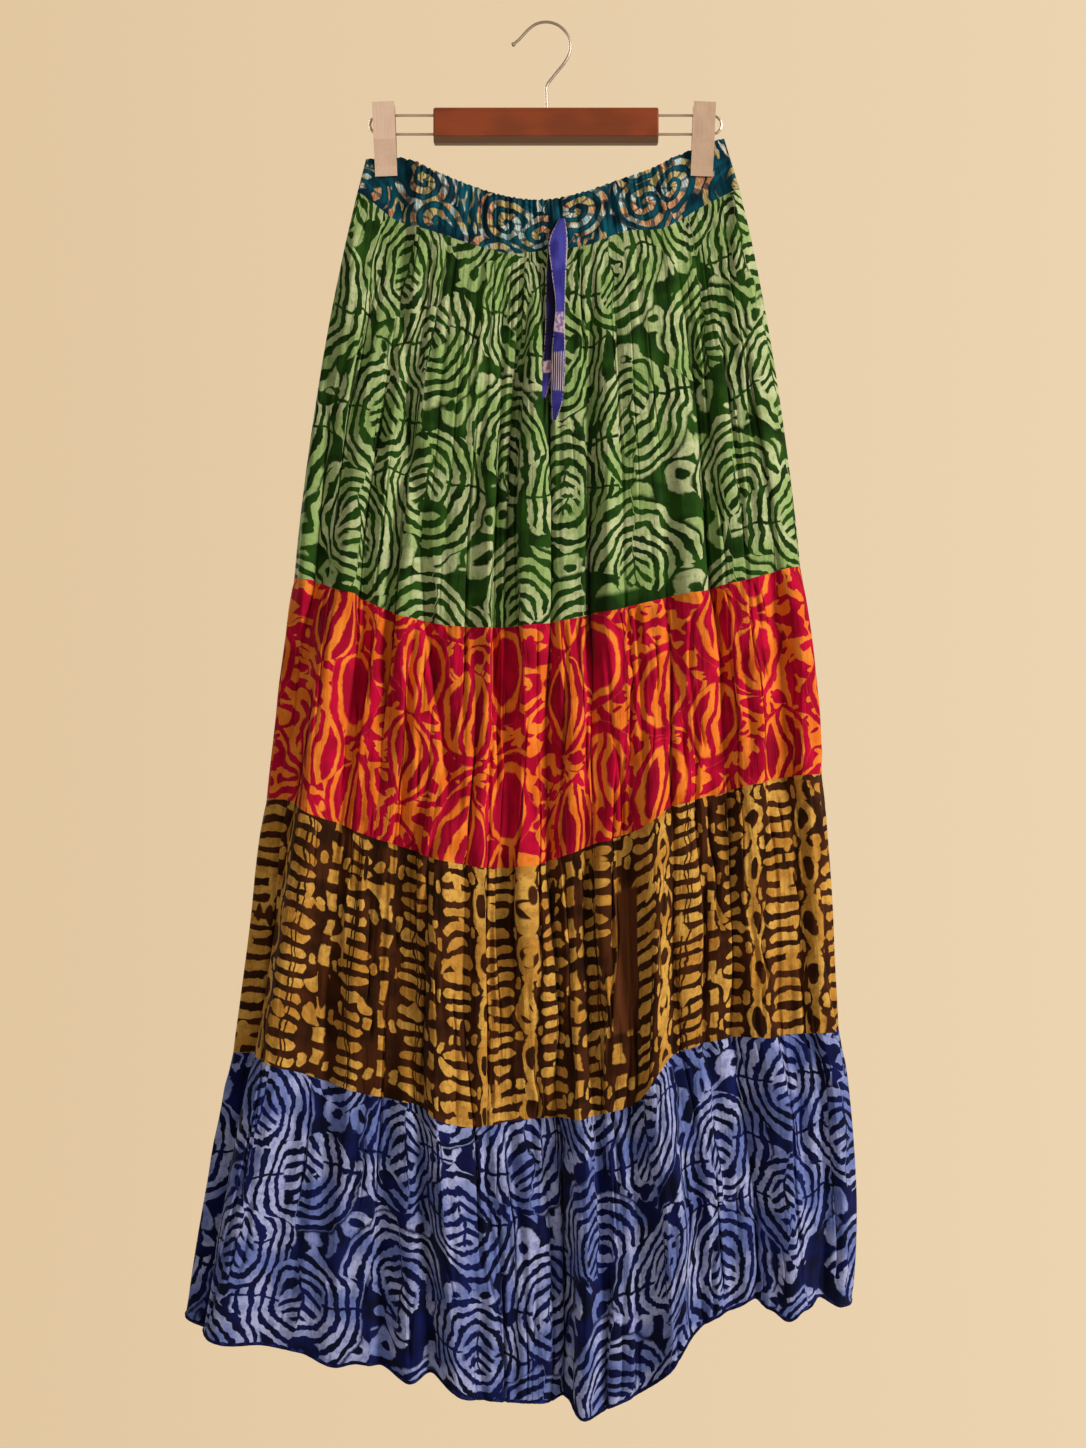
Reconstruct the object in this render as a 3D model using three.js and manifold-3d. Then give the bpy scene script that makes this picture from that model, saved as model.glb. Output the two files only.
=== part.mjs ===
// Tiered maxi skirt of printed cloth, hung by its waistband from the two clips of a wooden hanger.
// Millimetres, +Z up, the front faces -Y and +X is to the right of someone looking at the front.
// The origin is where the hook's curl rests on the thing that holds it.
import * as THREE from "three";
import { mergeVertices } from "three/addons/utils/BufferGeometryUtils.js";
import Module from "manifold-3d";

// Cloth
const WALL = 1.2; // thickness of a cloth wall
const SEAM_GAP = 0.3; // parting between two pieces that are sewn together
const PINCHED_DEPTH = 0.75; // from the middle plane to the middle of a layer inside a clip
const CROWN = 0.25; // how much fuller the tube is at its middle than at its sides
const SIDE_CALM = 0.035; // share of the width beside a side seam that has no fold

// Gathers of the elastic, on each half of the band: how many, how far they stand out, the share
// left of that at the band's edges, and the heights between which they are full.
const SHIRRING = { count: 26, height: 1.1, edge: 0.35, from: -1.02, full: -0.8, ease: -0.2, end: -0.15 };

// How the gathers below a seam vary: in place, length and height, and how they fade out downwards.
const GATHER = {
  stray: 0.5,
  reach: { least: 0.45, spread: 0.6 },
  fade: { before: 0.3, after: 0.1, loss: 0.75 },
  tall: { least: 0.45, spread: 0.9 },
  flat: 0.14, // share of the tier's length beside each seam over which they flatten
  narrow: 0.95,
};
const FOLD_EASE = 0.4; // levels over which a large fold comes and goes

// Each level is a line round the skirt: the outline's left and right ends, half the tube's depth
// at its sides, and how far the outline bows out between this line and the next.
const LEVELS = [
  { line: "top", left: -154.5, right: 153, depth: 6.5, bowLeft: 0, bowRight: 0 },
  { line: "waist", left: -162, right: 166.5, depth: 8.5, bowLeft: 6, bowRight: 5 },
  { line: "seam1", left: -216, right: 218, depth: 19, bowLeft: 0, bowRight: 4 },
  { line: "seam2", left: -239.5, right: 236.5, depth: 26, bowLeft: 0, bowRight: 1 },
  { line: "seam3", left: -268, right: 251, depth: 32, bowLeft: 1, bowRight: 8 },
  { line: "hem", left: -309, right: 262, depth: 38, bowLeft: 0, bowRight: 0 },
];

// How far each line hangs below the hook's seat, at eleven even stations from left to right.
const STATIONS = [
  { top: 116.5, waist: 145.5, seam1: 476.5, seam2: 664.5, seam3: 881.5, hem: 1108 },
  { top: 115.5, waist: 169.5, seam1: 488.5, seam2: 673.5, seam3: 884.5, hem: 1120.5 },
  { top: 129, waist: 180.5, seam1: 506.5, seam2: 691.5, seam3: 901.5, hem: 1131.5 },
  { top: 141.5, waist: 191.5, seam1: 517.5, seam2: 705.5, seam3: 911.5, hem: 1141.5 },
  { top: 150.5, waist: 199.5, seam1: 519.5, seam2: 716.5, seam3: 918.5, hem: 1144.5 },
  { top: 153, waist: 196.5, seam1: 515.5, seam2: 711.5, seam3: 912.5, hem: 1150.5 },
  { top: 147, waist: 192.5, seam1: 507.5, seam2: 694.5, seam3: 909.5, hem: 1147.5 },
  { top: 136.5, waist: 180.5, seam1: 497.5, seam2: 680.5, seam3: 892.5, hem: 1120.5 },
  { top: 125.5, waist: 177.5, seam1: 487.5, seam2: 667.5, seam3: 876.5, hem: 1080.5 },
  { top: 109.5, waist: 158.5, seam1: 477.5, seam2: 655.5, seam3: 874.5, hem: 1077.5 },
  { top: 99, waist: 143.5, seam1: 466.5, seam2: 649.5, seam3: 871.5, hem: 1078.5 },
];

// Guiding threads: where four vertical threads of the front lie across the width at each line.
const THREADS = [
  { thread: 0.1, top: 0.1, waist: 0.1, seam1: 0.085, seam2: 0.084, seam3: 0.077, hem: 0.068 },
  { thread: 0.33, top: 0.33, waist: 0.33, seam1: 0.32, seam2: 0.316, seam3: 0.347, hem: 0.42 },
  { thread: 0.56, top: 0.54, waist: 0.54, seam1: 0.54, seam2: 0.55, seam3: 0.579, hem: 0.598 },
  { thread: 0.7, top: 0.7, waist: 0.7, seam1: 0.69, seam2: 0.687, seam3: 0.684, hem: 0.727 },
];

// Large folds. at and wide are shares of the half's threads; from and to count levels, 0 at the
// waist and 4 at the hem; high is how far it stands out (or in, below zero) and lean how far its
// crest is pushed to the right; the steps are how much lower the cloth hangs to its right at a
// seam, and dip how much lower the hem hangs on the fold.
const FRONT_FOLDS = [
  { at: 0.1, wide: 0.042, from: 0.9, to: 5, high: 17, lean: -4, step2: 7, step3: 9, stepHem: 0, dip: 3 },
  { at: 0.045, wide: 0.03, from: 1.0, to: 5, high: -10, lean: 0, step2: 0, step3: 0, stepHem: 0, dip: 8 },
  { at: 0.15, wide: 0.025, from: 0.1, to: 2.6, high: -5, lean: 0, step2: 0, step3: 0, stepHem: 0, dip: 0 },
  { at: 0.21, wide: 0.028, from: 0.0, to: 1.7, high: -6, lean: 0, step2: 0, step3: 0, stepHem: 0, dip: 0 },
  { at: 0.2, wide: 0.03, from: 2.2, to: 5, high: 6, lean: 3, step2: 0, step3: 0, stepHem: 0, dip: 6 },
  { at: 0.275, wide: 0.026, from: 2.6, to: 5, high: 8, lean: 3, step2: 0, step3: 0, stepHem: 0, dip: 10 },
  { at: 0.33, wide: 0.042, from: 1.6, to: 5, high: 16, lean: -6, step2: 0, step3: 13, stepHem: 20, dip: 4 },
  { at: 0.385, wide: 0.025, from: 0.3, to: 2.2, high: 5, lean: 0, step2: 0, step3: 0, stepHem: 0, dip: 0 },
  { at: 0.445, wide: 0.03, from: 0.0, to: 3.5, high: -8, lean: -3, step2: 0, step3: 0, stepHem: 0, dip: 0 },
  { at: 0.515, wide: 0.026, from: 0.0, to: 5, high: -8, lean: 0, step2: 0, step3: 0, stepHem: 0, dip: -3 },
  { at: 0.56, wide: 0.036, from: 2.7, to: 5, high: 14, lean: -3, step2: 0, step3: 0, stepHem: 15, dip: 6 },
  { at: 0.61, wide: 0.026, from: 0.0, to: 2.1, high: -6, lean: 0, step2: 0, step3: 0, stepHem: 0, dip: 0 },
  { at: 0.7, wide: 0.04, from: 1.5, to: 5, high: 14, lean: 2, step2: -13, step3: -31, stepHem: -18, dip: 0 },
  { at: 0.75, wide: 0.026, from: 0.2, to: 2.0, high: -6, lean: 0, step2: 0, step3: 0, stepHem: 0, dip: 0 },
  { at: 0.81, wide: 0.03, from: 0.0, to: 5, high: -8, lean: 3, step2: 0, step3: 0, stepHem: 0, dip: -7 },
  { at: 0.865, wide: 0.026, from: 0.0, to: 1.3, high: -5, lean: 0, step2: 0, step3: 0, stepHem: 0, dip: 0 },
  { at: 0.865, wide: 0.028, from: 2.8, to: 5, high: 6, lean: 0, step2: 0, step3: 0, stepHem: 0, dip: 8 },
  { at: 0.92, wide: 0.03, from: 0.9, to: 5, high: -8, lean: 0, step2: 0, step3: 0, stepHem: 0, dip: -8 },
];

// The hidden side hangs in similar folds of its own.
const BACK_FOLDS = [
  { at: 0.09, wide: 0.03, from: 0.8, to: 5, high: -8, lean: 0, step2: 0, step3: 0, stepHem: 0, dip: -4 },
  { at: 0.16, wide: 0.03, from: 0.1, to: 2.4, high: -6, lean: 0, step2: 0, step3: 0, stepHem: 0, dip: 0 },
  { at: 0.23, wide: 0.038, from: 1.3, to: 5, high: 14, lean: 18, step2: -8, step3: -12, stepHem: -8, dip: 5 },
  { at: 0.31, wide: 0.028, from: 0.0, to: 3.4, high: -7, lean: 0, step2: 0, step3: 0, stepHem: 0, dip: 0 },
  { at: 0.38, wide: 0.03, from: 2.2, to: 5, high: 8, lean: 3, step2: 0, step3: 0, stepHem: 0, dip: 8 },
  { at: 0.45, wide: 0.03, from: 0.0, to: 5, high: -8, lean: 0, step2: 0, step3: 0, stepHem: 0, dip: -4 },
  { at: 0.54, wide: 0.028, from: 0.2, to: 2.6, high: -6, lean: 0, step2: 0, step3: 0, stepHem: 0, dip: 0 },
  { at: 0.62, wide: 0.04, from: 1.7, to: 5, high: 15, lean: -19, step2: 5, step3: 14, stepHem: 12, dip: 4 },
  { at: 0.7, wide: 0.03, from: 0.0, to: 5, high: -7, lean: 0, step2: 0, step3: 0, stepHem: 0, dip: -3 },
  { at: 0.78, wide: 0.028, from: 0.1, to: 2.2, high: -6, lean: 0, step2: 0, step3: 0, stepHem: 0, dip: 0 },
  { at: 0.84, wide: 0.03, from: 2.4, to: 5, high: 8, lean: -3, step2: 0, step3: 0, stepHem: 0, dip: 7 },
  { at: 0.91, wide: 0.03, from: 0.6, to: 5, high: -8, lean: 0, step2: 0, step3: 0, stepHem: 0, dip: -4 },
];

// One row for each tier: its gathers on each half, how far they stand out, the shares of its
// length at which its wall has a section, and its plain colour.
const TIERS = [
  { gathers: 13, height: 2.6, rows: [0, 0.14, 0.42, 0.75, 1], colour: 0x4c7d2f },
  { gathers: 14, height: 2.8, rows: [0, 0.22, 0.62, 1], colour: 0xc4203a },
  { gathers: 14, height: 3.0, rows: [0, 0.2, 0.6, 1], colour: 0x8a6430 },
  { gathers: 14, height: 3.4, rows: [0, 0.18, 0.5, 0.8, 1], colour: 0x3c4d93 },
];
const BAND = { rows: [0, 0.64, 1], colour: 0x2a6f7c };
const COLUMNS = 52; // even columns across a half of the skirt
const CREST_COLUMNS = 9; // columns across a tall fold
const TALL = 14; // a fold that stands out this far or more gets those columns
const CREST_CLEAR = 1.08; // the even columns keep out of this many half widths of a tall fold
const INSIDE = 1e-6; // keeps a panel's end rows inside its own tier

// Hanger
const HOOK = {
  wire: 1.3,
  radius: 21,
  stem: 0.6, // how far right of the middle the stem stands
  stemRise: [0, 11, 20], // heights of the stem's points above the bar
  shoulder: { x: 6, z: -46 }, // where the stem swings out to the curl
  curl: { from: -35, to: 140, step: 25 }, // degrees round the curl
  lip: { x: -22.2, z: -13 },
  tip: { x: -28, z: -18 },
  tipBall: 2.1,
};
const BAR = { length: 192.6, height: 30, depth: 20, top: -73.9, corner: 3, chamfer: 5, bevel: 1 };
const WIRE = { radius: 1.2, upper: -79, lower: -95.2, leftEnd: -152.5, rightEnd: 152 };
const CLIP = { width: 19, top: -69.9, knee: -101, grip: -123.2, foot: -131.9, plate: 1.2, body: 7.8 };
const CLIP_EDGE = { lip: 1, round: 0.4, flare: 0.5 }; // small turns of a jaw's top edge and its foot
const CLIP_BARREL = 9;
const CLIP_X = { left: -138.7, right: 135.3 };
const CLIP_TILT = 2.3; // degrees, the foot towards the middle
const CLIP_REACH = { flat: 19, fade: 8.5 }; // cloth held flat beside a clip's centre, then easing out
const PINCH = { full: -0.36, none: 0.45 }; // heights between which the clips' hold on the layers eases

// The drawstring's two free ends, a row for each section: how far below the hook's seat, the
// middle, half its width, how far it stands off the cloth, and its turn about the vertical.
const TIE_LONG = [
  { down: 170, x: 13.6, half: 2.4, off: 1.1, turn: 0 },
  { down: 186, x: 10.8, half: 7.4, off: 5.2, turn: 4 },
  { down: 215.5, x: 10.8, half: 6.4, off: 7.4, turn: 8 },
  { down: 245.5, x: 12.2, half: 4.2, off: 8.6, turn: 16 },
  { down: 264.5, x: 11.4, half: 4.6, off: 8.8, turn: 6 },
  { down: 286.5, x: 10.6, half: 5.8, off: 8.6, turn: -6 },
  { down: 306.5, x: 10.3, half: 5.6, off: 8.4, turn: -10 },
  { down: 327.5, x: 9.2, half: 4.8, off: 8.2, turn: 0 },
  { down: 343.5, x: 7.1, half: 1.6, off: 8.0, turn: 6 },
];
const TIE_SHORT = [
  { down: 180.5, x: 5.2, half: 2.6, off: 1.8, turn: 0 },
  { down: 196.5, x: 4.8, half: 3.4, off: 2.8, turn: 6 },
  { down: 235.5, x: 3.9, half: 4.4, off: 4.4, turn: 12 },
  { down: 268.5, x: 3.9, half: 4.8, off: 5.0, turn: 4 },
  { down: 292.5, x: 2.2, half: 5.6, off: 5.0, turn: -6 },
  { down: 309.5, x: -2.3, half: 6.3, off: 4.8, turn: -8 },
  { down: 324.5, x: -5.6, half: 5.0, off: 4.6, turn: 0 },
];

const lerp = THREE.MathUtils.lerp;
const clamp01 = (value) => Math.min(1, Math.max(0, value));
const smooth = (low, high, value) => THREE.MathUtils.smoothstep(value, low, high);
const bump = (offset) => (Math.abs(offset) < 1 ? 0.5 + 0.5 * Math.cos(Math.PI * offset) : 0);

// A steady number from 0 to 1 for each whole number, which makes the gathers uneven.
function scatter(index) {
  const wave = Math.sin(index * 12.9898) * 437.585;
  return wave - Math.floor(wave);
}

// A curve through the stations' drops of one line, at a share of the width.
function dropOf(line, share) {
  const last = STATIONS.length - 1;
  const place = clamp01(share) * last;
  const first = Math.min(last - 1, Math.floor(place));
  const t = place - first;
  const at = (index) => STATIONS[Math.min(last, Math.max(0, index))][line];
  const [a, b, c, d] = [at(first - 1), at(first), at(first + 1), at(first + 2)];
  const bend = 3 * (b - c) + d - a;
  return b + 0.5 * t * (c - a + t * (2 * a - 5 * b + 4 * c - d + t * bend));
}

// Half of the tube's section: round at both sides, straight between. share runs along its length.
function section(share, width, depth) {
  const quarter = (Math.PI / 2) * depth;
  const length = width - 2 * depth + 2 * quarter;
  const t = share * length;
  if (t < quarter) {
    const angle = t / depth;
    const x = depth - depth * Math.cos(angle);
    return { x, y: depth * Math.sin(angle), nx: -Math.cos(angle), ny: Math.sin(angle) };
  }
  if (t > length - quarter) {
    const angle = (length - t) / depth;
    const x = width - depth + depth * Math.cos(angle);
    return { x, y: depth * Math.sin(angle), nx: Math.cos(angle), ny: Math.sin(angle) };
  }
  return { x: depth + t - quarter, y: depth, nx: 0, ny: 1 };
}

// Where a thread lies along a half's section at one of the lines, as a share of its length.
function threadShare(thread, level) {
  const { line, left, right, depth } = LEVELS[level];
  const width = right - left;
  const rounding = (Math.PI / 2 - 1) * depth;
  const shareOf = (row) => (row[line] * width + rounding) / (width + 2 * rounding);
  const knots = [[0, 0], ...THREADS.map((row) => [row.thread, shareOf(row)]), [1, 1]];
  const upper = Math.max(1, knots.findIndex(([knot]) => knot >= thread));
  const [start, end] = [knots[upper - 1], knots[upper]];
  return lerp(start[1], end[1], (thread - start[0]) / (end[0] - start[0]));
}

// The large folds and gathers at a thread and height: how far out, and how far to the right.
function foldsAt(thread, height, folds, seed) {
  let out = 0;
  let side = 0;
  for (const fold of folds) {
    const rise = smooth(fold.from, fold.from + FOLD_EASE, height);
    const fall = 1 - smooth(fold.to - FOLD_EASE, fold.to, height);
    const amount = rise * fall * bump((thread - fold.at) / fold.wide);
    out += fold.high * amount;
    side += fold.lean * amount;
  }
  const tier = Math.min(TIERS.length - 1, Math.floor(height));
  if (height < 0) {
    const { count, height: stand, edge, from, full, ease, end } = SHIRRING;
    const calm = smooth(from, full, height) * (1 - smooth(ease, 0, height));
    const wave = Math.cos(2 * Math.PI * count * thread);
    out += stand * wave * lerp(edge, 1, calm) * (1 - smooth(end, 0, height));
  } else {
    const { gathers, height: tall } = TIERS[tier];
    const down = height - tier;
    for (let k = 0; k < gathers; k++) {
      const id = seed + tier * 50 + k;
      const middle = (k + 0.5 + GATHER.stray * (scatter(id) - 0.5)) / gathers;
      const reach = GATHER.reach.least + GATHER.reach.spread * scatter(id + 300);
      const { before, after, loss } = GATHER.fade;
      const fade = 1 - loss * smooth(reach - before, reach + after, down);
      const amount = tall * (GATHER.tall.least + GATHER.tall.spread * scatter(id + 600)) * fade;
      const flatAtSeams = smooth(0, GATHER.flat, down) * (1 - smooth(1 - GATHER.flat, 1, down));
      out += amount * bump((thread - middle) * gathers * GATHER.narrow) * flatAtSeams;
    }
  }
  const calmSides = smooth(0, SIDE_CALM, thread) * (1 - smooth(1 - SIDE_CALM, 1, thread));
  return { out: out * calmSides, side: side * calmSides };
}

// How hard the clips press the two layers together at a place of the band, from 0 to 1.
function pinchAt(x, height) {
  let press = 0;
  for (const centre of Object.values(CLIP_X)) {
    const away = Math.abs(x - centre);
    press += 1 - smooth(CLIP_REACH.flat, CLIP_REACH.flat + CLIP_REACH.fade, away);
  }
  return clamp01(press) * (1 - smooth(PINCH.full, PINCH.none, height));
}

// A point of the cloth's middle surface. thread runs from 0 at the left side seam to 1 at the
// right one; height is -1 at the band's top, 0 at the waist and 4 at the hem.
function clothPoint(thread, height, folds, facing, seed) {
  const level = Math.min(LEVELS.length - 2, Math.floor(height + 1));
  const down = height + 1 - level;
  const [above, below] = [LEVELS[level], LEVELS[level + 1]];
  const bow = 4 * down * (1 - down);
  const left = lerp(above.left, below.left, down) - above.bowLeft * bow;
  const right = lerp(above.right, below.right, down) + above.bowRight * bow;
  const depth = lerp(above.depth, below.depth, down);
  const width = right - left;
  const shares = [threadShare(thread, level), threadShare(thread, level + 1)];
  const base = section(lerp(shares[0], shares[1], down), width, depth);
  const drops = [above, below].map((line, index) => {
    const lineWidth = line.right - line.left;
    const across = section(shares[index], lineWidth, line.depth).x / lineWidth;
    return dropOf(line.line, across) + stepsAt(thread, level + index, folds);
  });
  const { out, side } = foldsAt(thread, height, folds, seed);
  const x = left + base.x;
  const pinch = pinchAt(x, height);
  const crown = 1 + CROWN * Math.sin((Math.PI * base.x) / width);
  const flat = (base.y / depth) * PINCHED_DEPTH;
  const y = lerp(base.y * crown + base.ny * out, flat, pinch);
  const sway = (base.nx * out + base.ny * side) * (1 - pinch);
  return new THREE.Vector3(x + sway, facing * (SEAM_GAP / 2 + y), -lerp(drops[0], drops[1], down));
}

// The steps in a seam line where a fold laps over, and the hem's dips.
function stepsAt(thread, level, folds) {
  const key = { 3: "step2", 4: "step3", 5: "stepHem" }[level];
  let drop = 0;
  for (const fold of folds) {
    const offset = (thread - fold.at) / fold.wide;
    drop += key ? fold[key] * smooth(-1, 1, offset) : 0;
    drop += level === LEVELS.length - 1 ? fold.dip * bump(offset) : 0;
  }
  return drop;
}

// The columns of a half: even ones, with close ones across each tall fold.
function columnsOf(folds) {
  const tall = folds.filter((fold) => fold.high >= TALL);
  const columns = [];
  for (let k = 0; k <= COLUMNS; k++) {
    const thread = k / COLUMNS;
    const clear = tall.every((fold) => Math.abs(thread - fold.at) > fold.wide * CREST_CLEAR);
    if (clear) columns.push(thread);
  }
  for (const fold of tall) {
    for (let k = 0; k <= CREST_COLUMNS; k++) {
      columns.push(fold.at + fold.wide * ((2 * k) / CREST_COLUMNS - 1));
    }
  }
  return columns.sort((a, b) => a - b);
}

// A closed wall round a grid of middle-surface points, thickened level across each row. A row
// that ends at a side seam is thickened there as if it ran on round the side.
function wallGeometry(grid, thickness, facing, endsAtSeam) {
  const rows = grid.length;
  const columns = grid[0].length;
  const positions = [];
  for (const side of [1, -1]) {
    for (const row of grid) {
      row.forEach((point, j) => {
        const around = (near) => (endsAtSeam ? { x: near.x, y: -near.y } : point);
        const before = j > 0 ? row[j - 1] : around(row[1]);
        const after = j < columns - 1 ? row[j + 1] : around(row[columns - 2]);
        const run = Math.hypot(after.x - before.x, after.y - before.y);
        const offset = (side * facing * thickness) / 2 / run;
        const [x, y] = [point.x - (after.y - before.y) * offset, point.y + (after.x - before.x) * offset];
        positions.push(x, y, point.z);
      });
    }
  }
  const outer = (i, j) => i * columns + j;
  const inner = (i, j) => rows * columns + i * columns + j;
  const faces = [];
  const quad = (a, b, c, d) => faces.push(a, b, c, a, c, d);
  for (let i = 0; i < rows - 1; i++) {
    for (let j = 0; j < columns - 1; j++) {
      quad(outer(i, j), outer(i + 1, j), outer(i + 1, j + 1), outer(i, j + 1));
      quad(inner(i, j), inner(i, j + 1), inner(i + 1, j + 1), inner(i + 1, j));
    }
    quad(outer(i, 0), inner(i, 0), inner(i + 1, 0), outer(i + 1, 0));
    const end = columns - 1;
    quad(outer(i, end), outer(i + 1, end), inner(i + 1, end), inner(i, end));
  }
  for (let j = 0; j < columns - 1; j++) {
    quad(outer(0, j), outer(0, j + 1), inner(0, j + 1), inner(0, j));
    const end = rows - 1;
    quad(outer(end, j), inner(end, j), inner(end, j + 1), outer(end, j + 1));
  }
  if (facing > 0) {
    for (let k = 0; k < faces.length; k += 3) [faces[k + 1], faces[k + 2]] = [faces[k + 2], faces[k + 1]];
  }
  const geometry = new THREE.BufferGeometry();
  geometry.setAttribute("position", new THREE.Float32BufferAttribute(positions, 3));
  geometry.setIndex(faces);
  return geometry;
}

// A panel of the skirt from one height to another, parted by the seam gap at both ends.
function panel(from, to, rows, half) {
  const last = rows.length - 1;
  return rows.map((share, i) => {
    const sewnAbove = i === 0 && from > -1;
    const sewnBelow = i === last && to < TIERS.length;
    const part = (sewnBelow ? SEAM_GAP / 2 : 0) - (sewnAbove ? SEAM_GAP / 2 : 0);
    const height = Math.min(to - INSIDE, lerp(from, to, share) + INSIDE);
    return half.columns.map((thread) => {
      const point = clothPoint(thread, height, half.folds, half.facing, half.seed);
      point.z += part;
      return point;
    });
  });
}

// A free end of the drawstring: a narrow wall that hangs in front of the cloth.
function tie(table) {
  const middle = STATIONS[(STATIONS.length - 1) / 2];
  const grid = table.map((row) => {
    const below = Math.max(0, row.down - middle.waist) / (middle.seam1 - middle.waist);
    const depth = lerp(LEVELS[1].depth, LEVELS[2].depth, below) * (1 + CROWN);
    const turn = THREE.MathUtils.degToRad(row.turn);
    return [-1, 0, 1].map((edge) => {
      const reach = edge * row.half;
      const y = -(depth + row.off) + reach * Math.sin(turn);
      return new THREE.Vector3(row.x + reach * Math.cos(turn), y, -row.down);
    });
  });
  return wallGeometry(grid, WALL, -1, false);
}

const wasm = await Module();
wasm.setup();

// A closed geometry as a solid that can be joined with another.
function solidOf(geometry) {
  const bare = geometry.clone();
  bare.deleteAttribute("normal");
  bare.deleteAttribute("uv");
  const merged = mergeVertices(bare, 1e-4);
  const vertProperties = new Float32Array(merged.attributes.position.array);
  const triVerts = new Uint32Array(merged.index.array);
  return new wasm.Manifold(new wasm.Mesh({ numProp: 3, vertProperties, triVerts }));
}

function geometryOf(solid) {
  const { vertProperties, triVerts } = solid.getMesh();
  const geometry = new THREE.BufferGeometry();
  geometry.setAttribute("position", new THREE.BufferAttribute(new Float32Array(vertProperties), 3));
  geometry.setIndex(new THREE.BufferAttribute(new Uint32Array(triVerts), 1));
  return geometry;
}

// A round rod along a curve, closed at both ends.
function rod(curve, radius, sides, steps) {
  const outline = new THREE.Shape();
  for (let k = 0; k < sides; k++) {
    const angle = (2 * Math.PI * k) / sides;
    const [x, y] = [radius * Math.cos(angle), radius * Math.sin(angle)];
    if (k === 0) outline.moveTo(x, y);
    else outline.lineTo(x, y);
  }
  outline.closePath();
  return new THREE.ExtrudeGeometry(outline, { steps, extrudePath: curve, curveSegments: 1 });
}

// The hook: a stem out of the bar, a round curl over the seat and a tip turned out to a ball.
function hookGeometry() {
  const centre = -HOOK.radius + HOOK.wire;
  const { stem, shoulder, curl, lip } = HOOK;
  const points = HOOK.stemRise.map(
    (rise) => new THREE.Vector3(stem, 0, BAR.top + Math.max(SEAM_GAP, rise)),
  );
  points.push(new THREE.Vector3(shoulder.x, 0, shoulder.z));
  for (let degrees = curl.from; degrees <= curl.to; degrees += curl.step) {
    const angle = THREE.MathUtils.degToRad(degrees);
    const rise = HOOK.radius * Math.sin(angle);
    points.push(new THREE.Vector3(HOOK.radius * Math.cos(angle), 0, centre + rise));
  }
  const tip = new THREE.Vector3(HOOK.tip.x, 0, HOOK.tip.z);
  points.push(new THREE.Vector3(lip.x, 0, lip.z), tip);
  const wire = rod(new THREE.CatmullRomCurve3(points), HOOK.wire, 8, 40);
  const ball = new THREE.SphereGeometry(HOOK.tipBall, 8, 6).translate(tip.x, tip.y, tip.z);
  return geometryOf(solidOf(wire).add(solidOf(ball)));
}

// Turns an outline drawn in (depth, height) and extruded into one that runs along X.
const ALONG_X = new THREE.Matrix4().makeBasis(
  new THREE.Vector3(0, 1, 0),
  new THREE.Vector3(0, 0, 1),
  new THREE.Vector3(1, 0, 0),
);

function barGeometry() {
  const { corner, chamfer, bevel } = BAR;
  const [halfDepth, halfHeight] = [BAR.depth / 2 - bevel, BAR.height / 2 - bevel];
  const outline = new THREE.Shape();
  outline.moveTo(-halfDepth + chamfer, -halfHeight);
  outline.lineTo(halfDepth - chamfer, -halfHeight);
  outline.lineTo(halfDepth, -halfHeight + chamfer);
  outline.absarc(halfDepth - corner, halfHeight - corner, corner, 0, Math.PI / 2, false);
  outline.absarc(-halfDepth + corner, halfHeight - corner, corner, Math.PI / 2, Math.PI, false);
  outline.lineTo(-halfDepth, -halfHeight + chamfer);
  const geometry = new THREE.ExtrudeGeometry(outline, {
    depth: BAR.length - 2 * bevel,
    bevelSize: bevel,
    bevelThickness: bevel,
    bevelSegments: 1,
    curveSegments: 3,
  });
  geometry.translate(0, BAR.top - BAR.height / 2, -BAR.length / 2 + bevel);
  return geometry.applyMatrix4(ALONG_X);
}

// A wire that leaves the bar's end, turns back round its outer end and returns below itself.
class HairpinCurve extends THREE.Curve {
  constructor(inner, outer) {
    super();
    this.inner = inner;
    this.towards = Math.sign(outer);
    this.radius = (WIRE.upper - WIRE.lower) / 2;
    this.straight = Math.abs(outer - inner) - WIRE.radius - this.radius;
    this.total = 2 * this.straight + Math.PI * this.radius;
  }

  getPoint(t, target = new THREE.Vector3()) {
    const run = t * this.total;
    const turn = this.inner + this.towards * this.straight;
    if (run < this.straight) return target.set(this.inner + this.towards * run, 0, WIRE.upper);
    if (run > this.total - this.straight) {
      return target.set(this.inner + this.towards * (this.total - run), 0, WIRE.lower);
    }
    const angle = (run - this.straight) / this.radius;
    const middle = (WIRE.upper + WIRE.lower) / 2;
    const x = turn + this.towards * this.radius * Math.sin(angle);
    return target.set(x, 0, middle + this.radius * Math.cos(angle));
  }
}

// A jaw: a bent steel plate, upright at the wires and drawn in to the cloth at its foot.
function jawGeometry(facing) {
  const { plate, body, top, knee, grip, foot } = CLIP;
  const grasp = SEAM_GAP / 2 + PINCHED_DEPTH + WALL / 2 + SEAM_GAP;
  const profile = [
    [body, top + CLIP_EDGE.lip],
    [body, knee],
    [grasp + plate, grip],
    [grasp + plate + CLIP_EDGE.flare, foot],
    [grasp, foot],
    [grasp, grip],
    [body - plate, knee],
    [body - plate, top],
    [body - CLIP_EDGE.round, top],
  ];
  const outline = new THREE.Shape(profile.map(([y, z]) => new THREE.Vector2(facing * y, z)));
  const geometry = new THREE.ExtrudeGeometry(outline, { depth: CLIP.width, bevelEnabled: false });
  geometry.translate(0, 0, -CLIP.width / 2);
  return geometry.applyMatrix4(ALONG_X);
}

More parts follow.
